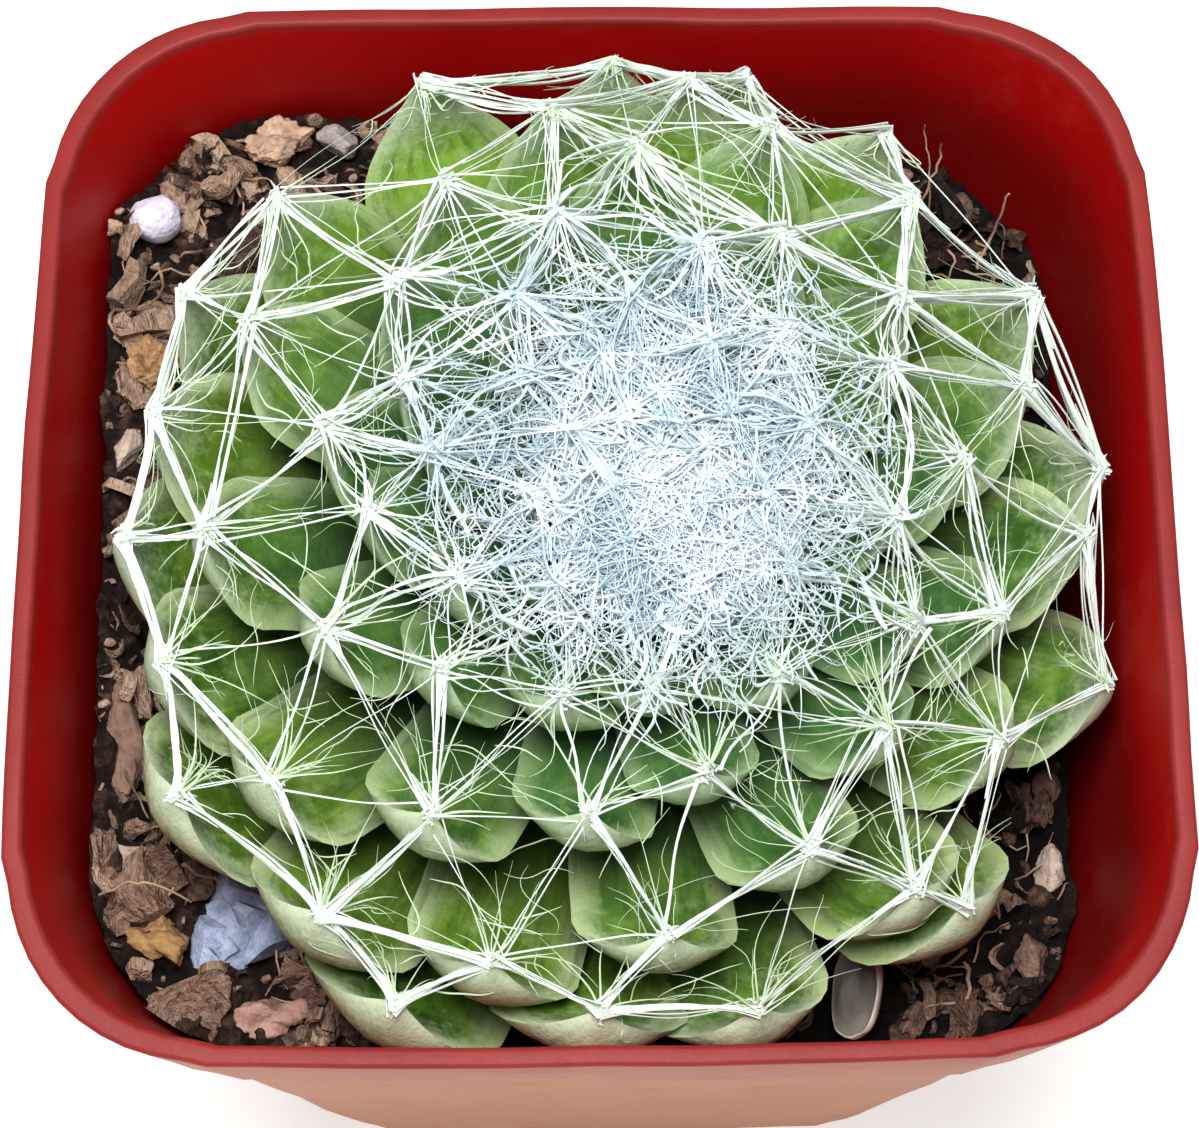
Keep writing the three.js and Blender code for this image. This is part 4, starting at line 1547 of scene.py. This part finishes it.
def stoneMaterial(name, dark, light, size, roughness):
    s = Shader(name)
    blotch = s.noise(size, 5, 0.65)
    grain = s.noise(size / 5, 3, 0.6)
    pits = s.cells(size / 2.2)
    tone = blotch.between(0.34, 0.66) * 0.5 + grain * 0.2
    # Painted light: facets that face the light are painted lighter.
    tone = tone + s.attribute("lit").between(0.1, 0.95) * 0.4
    colour = s.mix(tone, dark, light)
    colour = s.mix(pits.between(0.22, 0.05) * 0.4, colour, dark)
    return s.finish({
        "Base Color": colour,
        "Roughness": roughness + grain * 0.2,
        "Normal": s.bump(grain + pits * 0.6, 0.12, 0.7),
    })


stoneForm = {
    "single": 1.12,           # radius of the one lump of a plain stone, for a half size of 1
    "several": 1.85,          # and of each of several, over the root of their number
    "voxel": 0.08,
    "bevel": 0.02,
    "raised": 0.35,           # share of its half height that its middle stands over the soil
    # the way of the light that is painted onto the stones' facets
    "light": (-0.55, -0.35, 0.75),
}


def makeStone(at, size, turn, planes, rough, seed, lobes, cuts):
    # Lumps cut by flat faces, grown together and worn unless they are crystals, and set into
    # the soil
    rng = np.random.default_rng(seed)
    lumps = []
    for lobe in range(lobes):
        clearSelection()
        radius = stoneForm["single"] if lobes == 1 else stoneForm["several"] / math.sqrt(lobes)
        bpy.ops.mesh.primitive_ico_sphere_add(subdivisions=3, radius=radius)
        lump = bpy.context.object
        editing("FACE")
        for cut in range(planes):
            way = Vector(rng.normal(0, 1, 3)).normalized()
            bpy.ops.mesh.select_all(action="SELECT")
            bpy.ops.mesh.bisect(plane_co=way * rng.uniform(*cuts) * radius, plane_no=way,
                                use_fill=True, clear_outer=True)
        bpy.ops.object.mode_set(mode="OBJECT")
        bearing = math.tau * lobe / lobes + math.pi / 2 + rng.normal(0, 0.2)
        away = np.array((math.cos(bearing), math.sin(bearing), rng.normal(0, 0.2)))
        away *= rng.uniform(0.35, 0.6) * min(lobes - 1, 1)
        if not rough:
            away *= 1 + 0.35 * math.cos(3 * (bearing - math.pi / 2))
        writePoints(lump.data, readPoints(lump.data) + away)
        lumps.append(lump)
    stone = joinAll(lumps, "stone")
    if rough:
        even = stone.modifiers.new("even", "REMESH")
        even.mode = "VOXEL"
        even.voxel_size = stoneForm["voxel"]
    else:
        edges = stone.modifiers.new("edges", "BEVEL")
        edges.width = stoneForm["bevel"]
    applyAll(stone)
    points = readPoints(stone.data)
    worn = bumpy(points, 0.7, 4, seed) * rough + bumpy(points, 0.25, 2, seed + 50) * rough * 0.35
    reach = 1 + worn
    spin = math.radians(turn)
    across = points[:, 0] * size[0] * reach
    back = points[:, 1] * size[1] * reach
    x, y = at
    placed = np.stack((x + across * math.cos(spin) - back * math.sin(spin),
                       y + across * math.sin(spin) + back * math.cos(spin),
                       openSoil(x, y) + size[2] * (points[:, 2] * reach + stoneForm["raised"])),
                      axis=1)
    writePoints(stone.data, withinWall(placed) * mm)
    # Painted light: each point is lighter the more its facet faces the light.
    writeAttribute(stone.data, "lit", readNormals(stone.data) @ stoneForm["light"])
    return stone


def makeHusk():
    # Half a seed case, open upwards and to the left
    clearSelection()
    bpy.ops.mesh.primitive_uv_sphere_add(segments=28, ring_count=16, radius=1)
    case = bpy.context.object
    editAll("FACE")
    bpy.ops.mesh.bisect(plane_co=(0, 0, 0.12), plane_no=(0, 0.12, 1), clear_outer=True)
    bpy.ops.object.mode_set(mode="OBJECT")
    points = readPoints(case.data)
    points *= (1 + 0.12 * bumpy(points, 0.8, 3, 4))[:, None]
    points[:, 0] *= 1 - 0.22 * points[:, 1] - 0.15 * points[:, 1] ** 2
    aboutX, aboutY, aboutZ = np.radians(husk["turned"])
    turned = np.array(Matrix.Rotation(aboutZ, 3, "Z") @ Matrix.Rotation(aboutY, 3, "Y")
                      @ Matrix.Rotation(aboutX, 3, "X"))
    x, y = husk["at"]
    middle = np.array((x, y, openSoil(x, y) + husk["raised"]))
    writePoints(case.data, ((points * husk["size"]) @ turned.T + middle) * mm)
    thick = case.modifiers.new("wall", "SOLIDIFY")
    thick.thickness = husk["wall"] * mm
    smooth = case.modifiers.new("fine", "SUBSURF")
    smooth.levels = 1
    applyAll(case)
    # Painted shade: the inside of the case darkens towards its deepest part.
    away = readPoints(case.data) / mm - middle
    deep = np.clip(1 - (away[:, 2] - away[:, 2].min()) / 2.2, 0, 1)
    inside = (readNormals(case.data) * away).sum(axis=1) < 0
    writeAttribute(case.data, "inside", inside * deep)
    case.name = case.data.name = "seedHuskFine"
    return case


def huskMaterial():
    s = Shader("seedHusk")
    blotch = s.noise(1.2, 4, 0.6)
    streak = s.noise(0.3, 3, 0.6, s.stretched(1, 0.3, 1))
    colour = s.mix(blotch, paint(196, 182, 164), paint(236, 226, 212))
    # Painted shade in the hollow of the case.
    colour = s.mix(s.attribute("inside"), colour, paint(80, 72, 62))
    colour = s.mix(streak.between(0.5, 0.7) * 0.3, colour, paint(150, 138, 126))
    return s.finish({
        "Base Color": colour,
        "Roughness": 0.38 + streak * 0.2,
        "Alpha": 0.86 + blotch * 0.14,
        "Normal": s.bump(streak, 0.05, 0.5),
    })


twig = {
    "at": (-23.6, -15.4),
    "turn": -25,
    "half": 1.55,
    "curl": 0.28,
    "raised": 0.35,
}


def makeTwig():
    # A curled sliver of pale stalk
    x, y = twig["at"]
    t = np.linspace(-1, 1, 17)
    spin = math.radians(twig["turn"])
    along, across = twig["half"] * t, twig["curl"] * np.sin(2.6 * t)
    height = openSoil(x, y) + twig["raised"] + 0.3 * t ** 2
    points = np.stack((x + along * math.cos(spin) - across * math.sin(spin),
                       y + along * math.sin(spin) + across * math.cos(spin), height), axis=1)
    strands = [(points, 0.05 + 0.24 * (1 - t ** 2) ** 0.7),
               (points + (0.1, 0.2, 0.1), 0.04 + 0.15 * (1 - t ** 2))]
    return makeStrands("twigFine", strands, 9)


looseMaterials = {name: stoneMaterial(name, dark, light, size, roughness)
                  for name, (dark, light, size, roughness, slot) in looks.items()}
for seed, (node, shape) in enumerate(loosePieces.items()):
    look = shape["look"]
    lobes = shape.get("lobes", 1)
    cuts = shape.get("cuts", (0.5, 0.88) if lobes == 1 else (0.3, 0.7))
    stone = makeStone(shape["at"], shape["size"], shape["turn"], shape["planes"], shape["rough"],
                      seed + 60, lobes, cuts)
    stone.name = stone.data.name = node + "Fine"
    settle(stone, looseMaterials[look], [node],
           smooth=40 if shape["rough"] else 12)
settle(makeHusk(), huskMaterial(), ["seed_husk"], smooth=60)
settle(makeTwig(), looseMaterials["paleChip"], ["twig"], smooth=60)
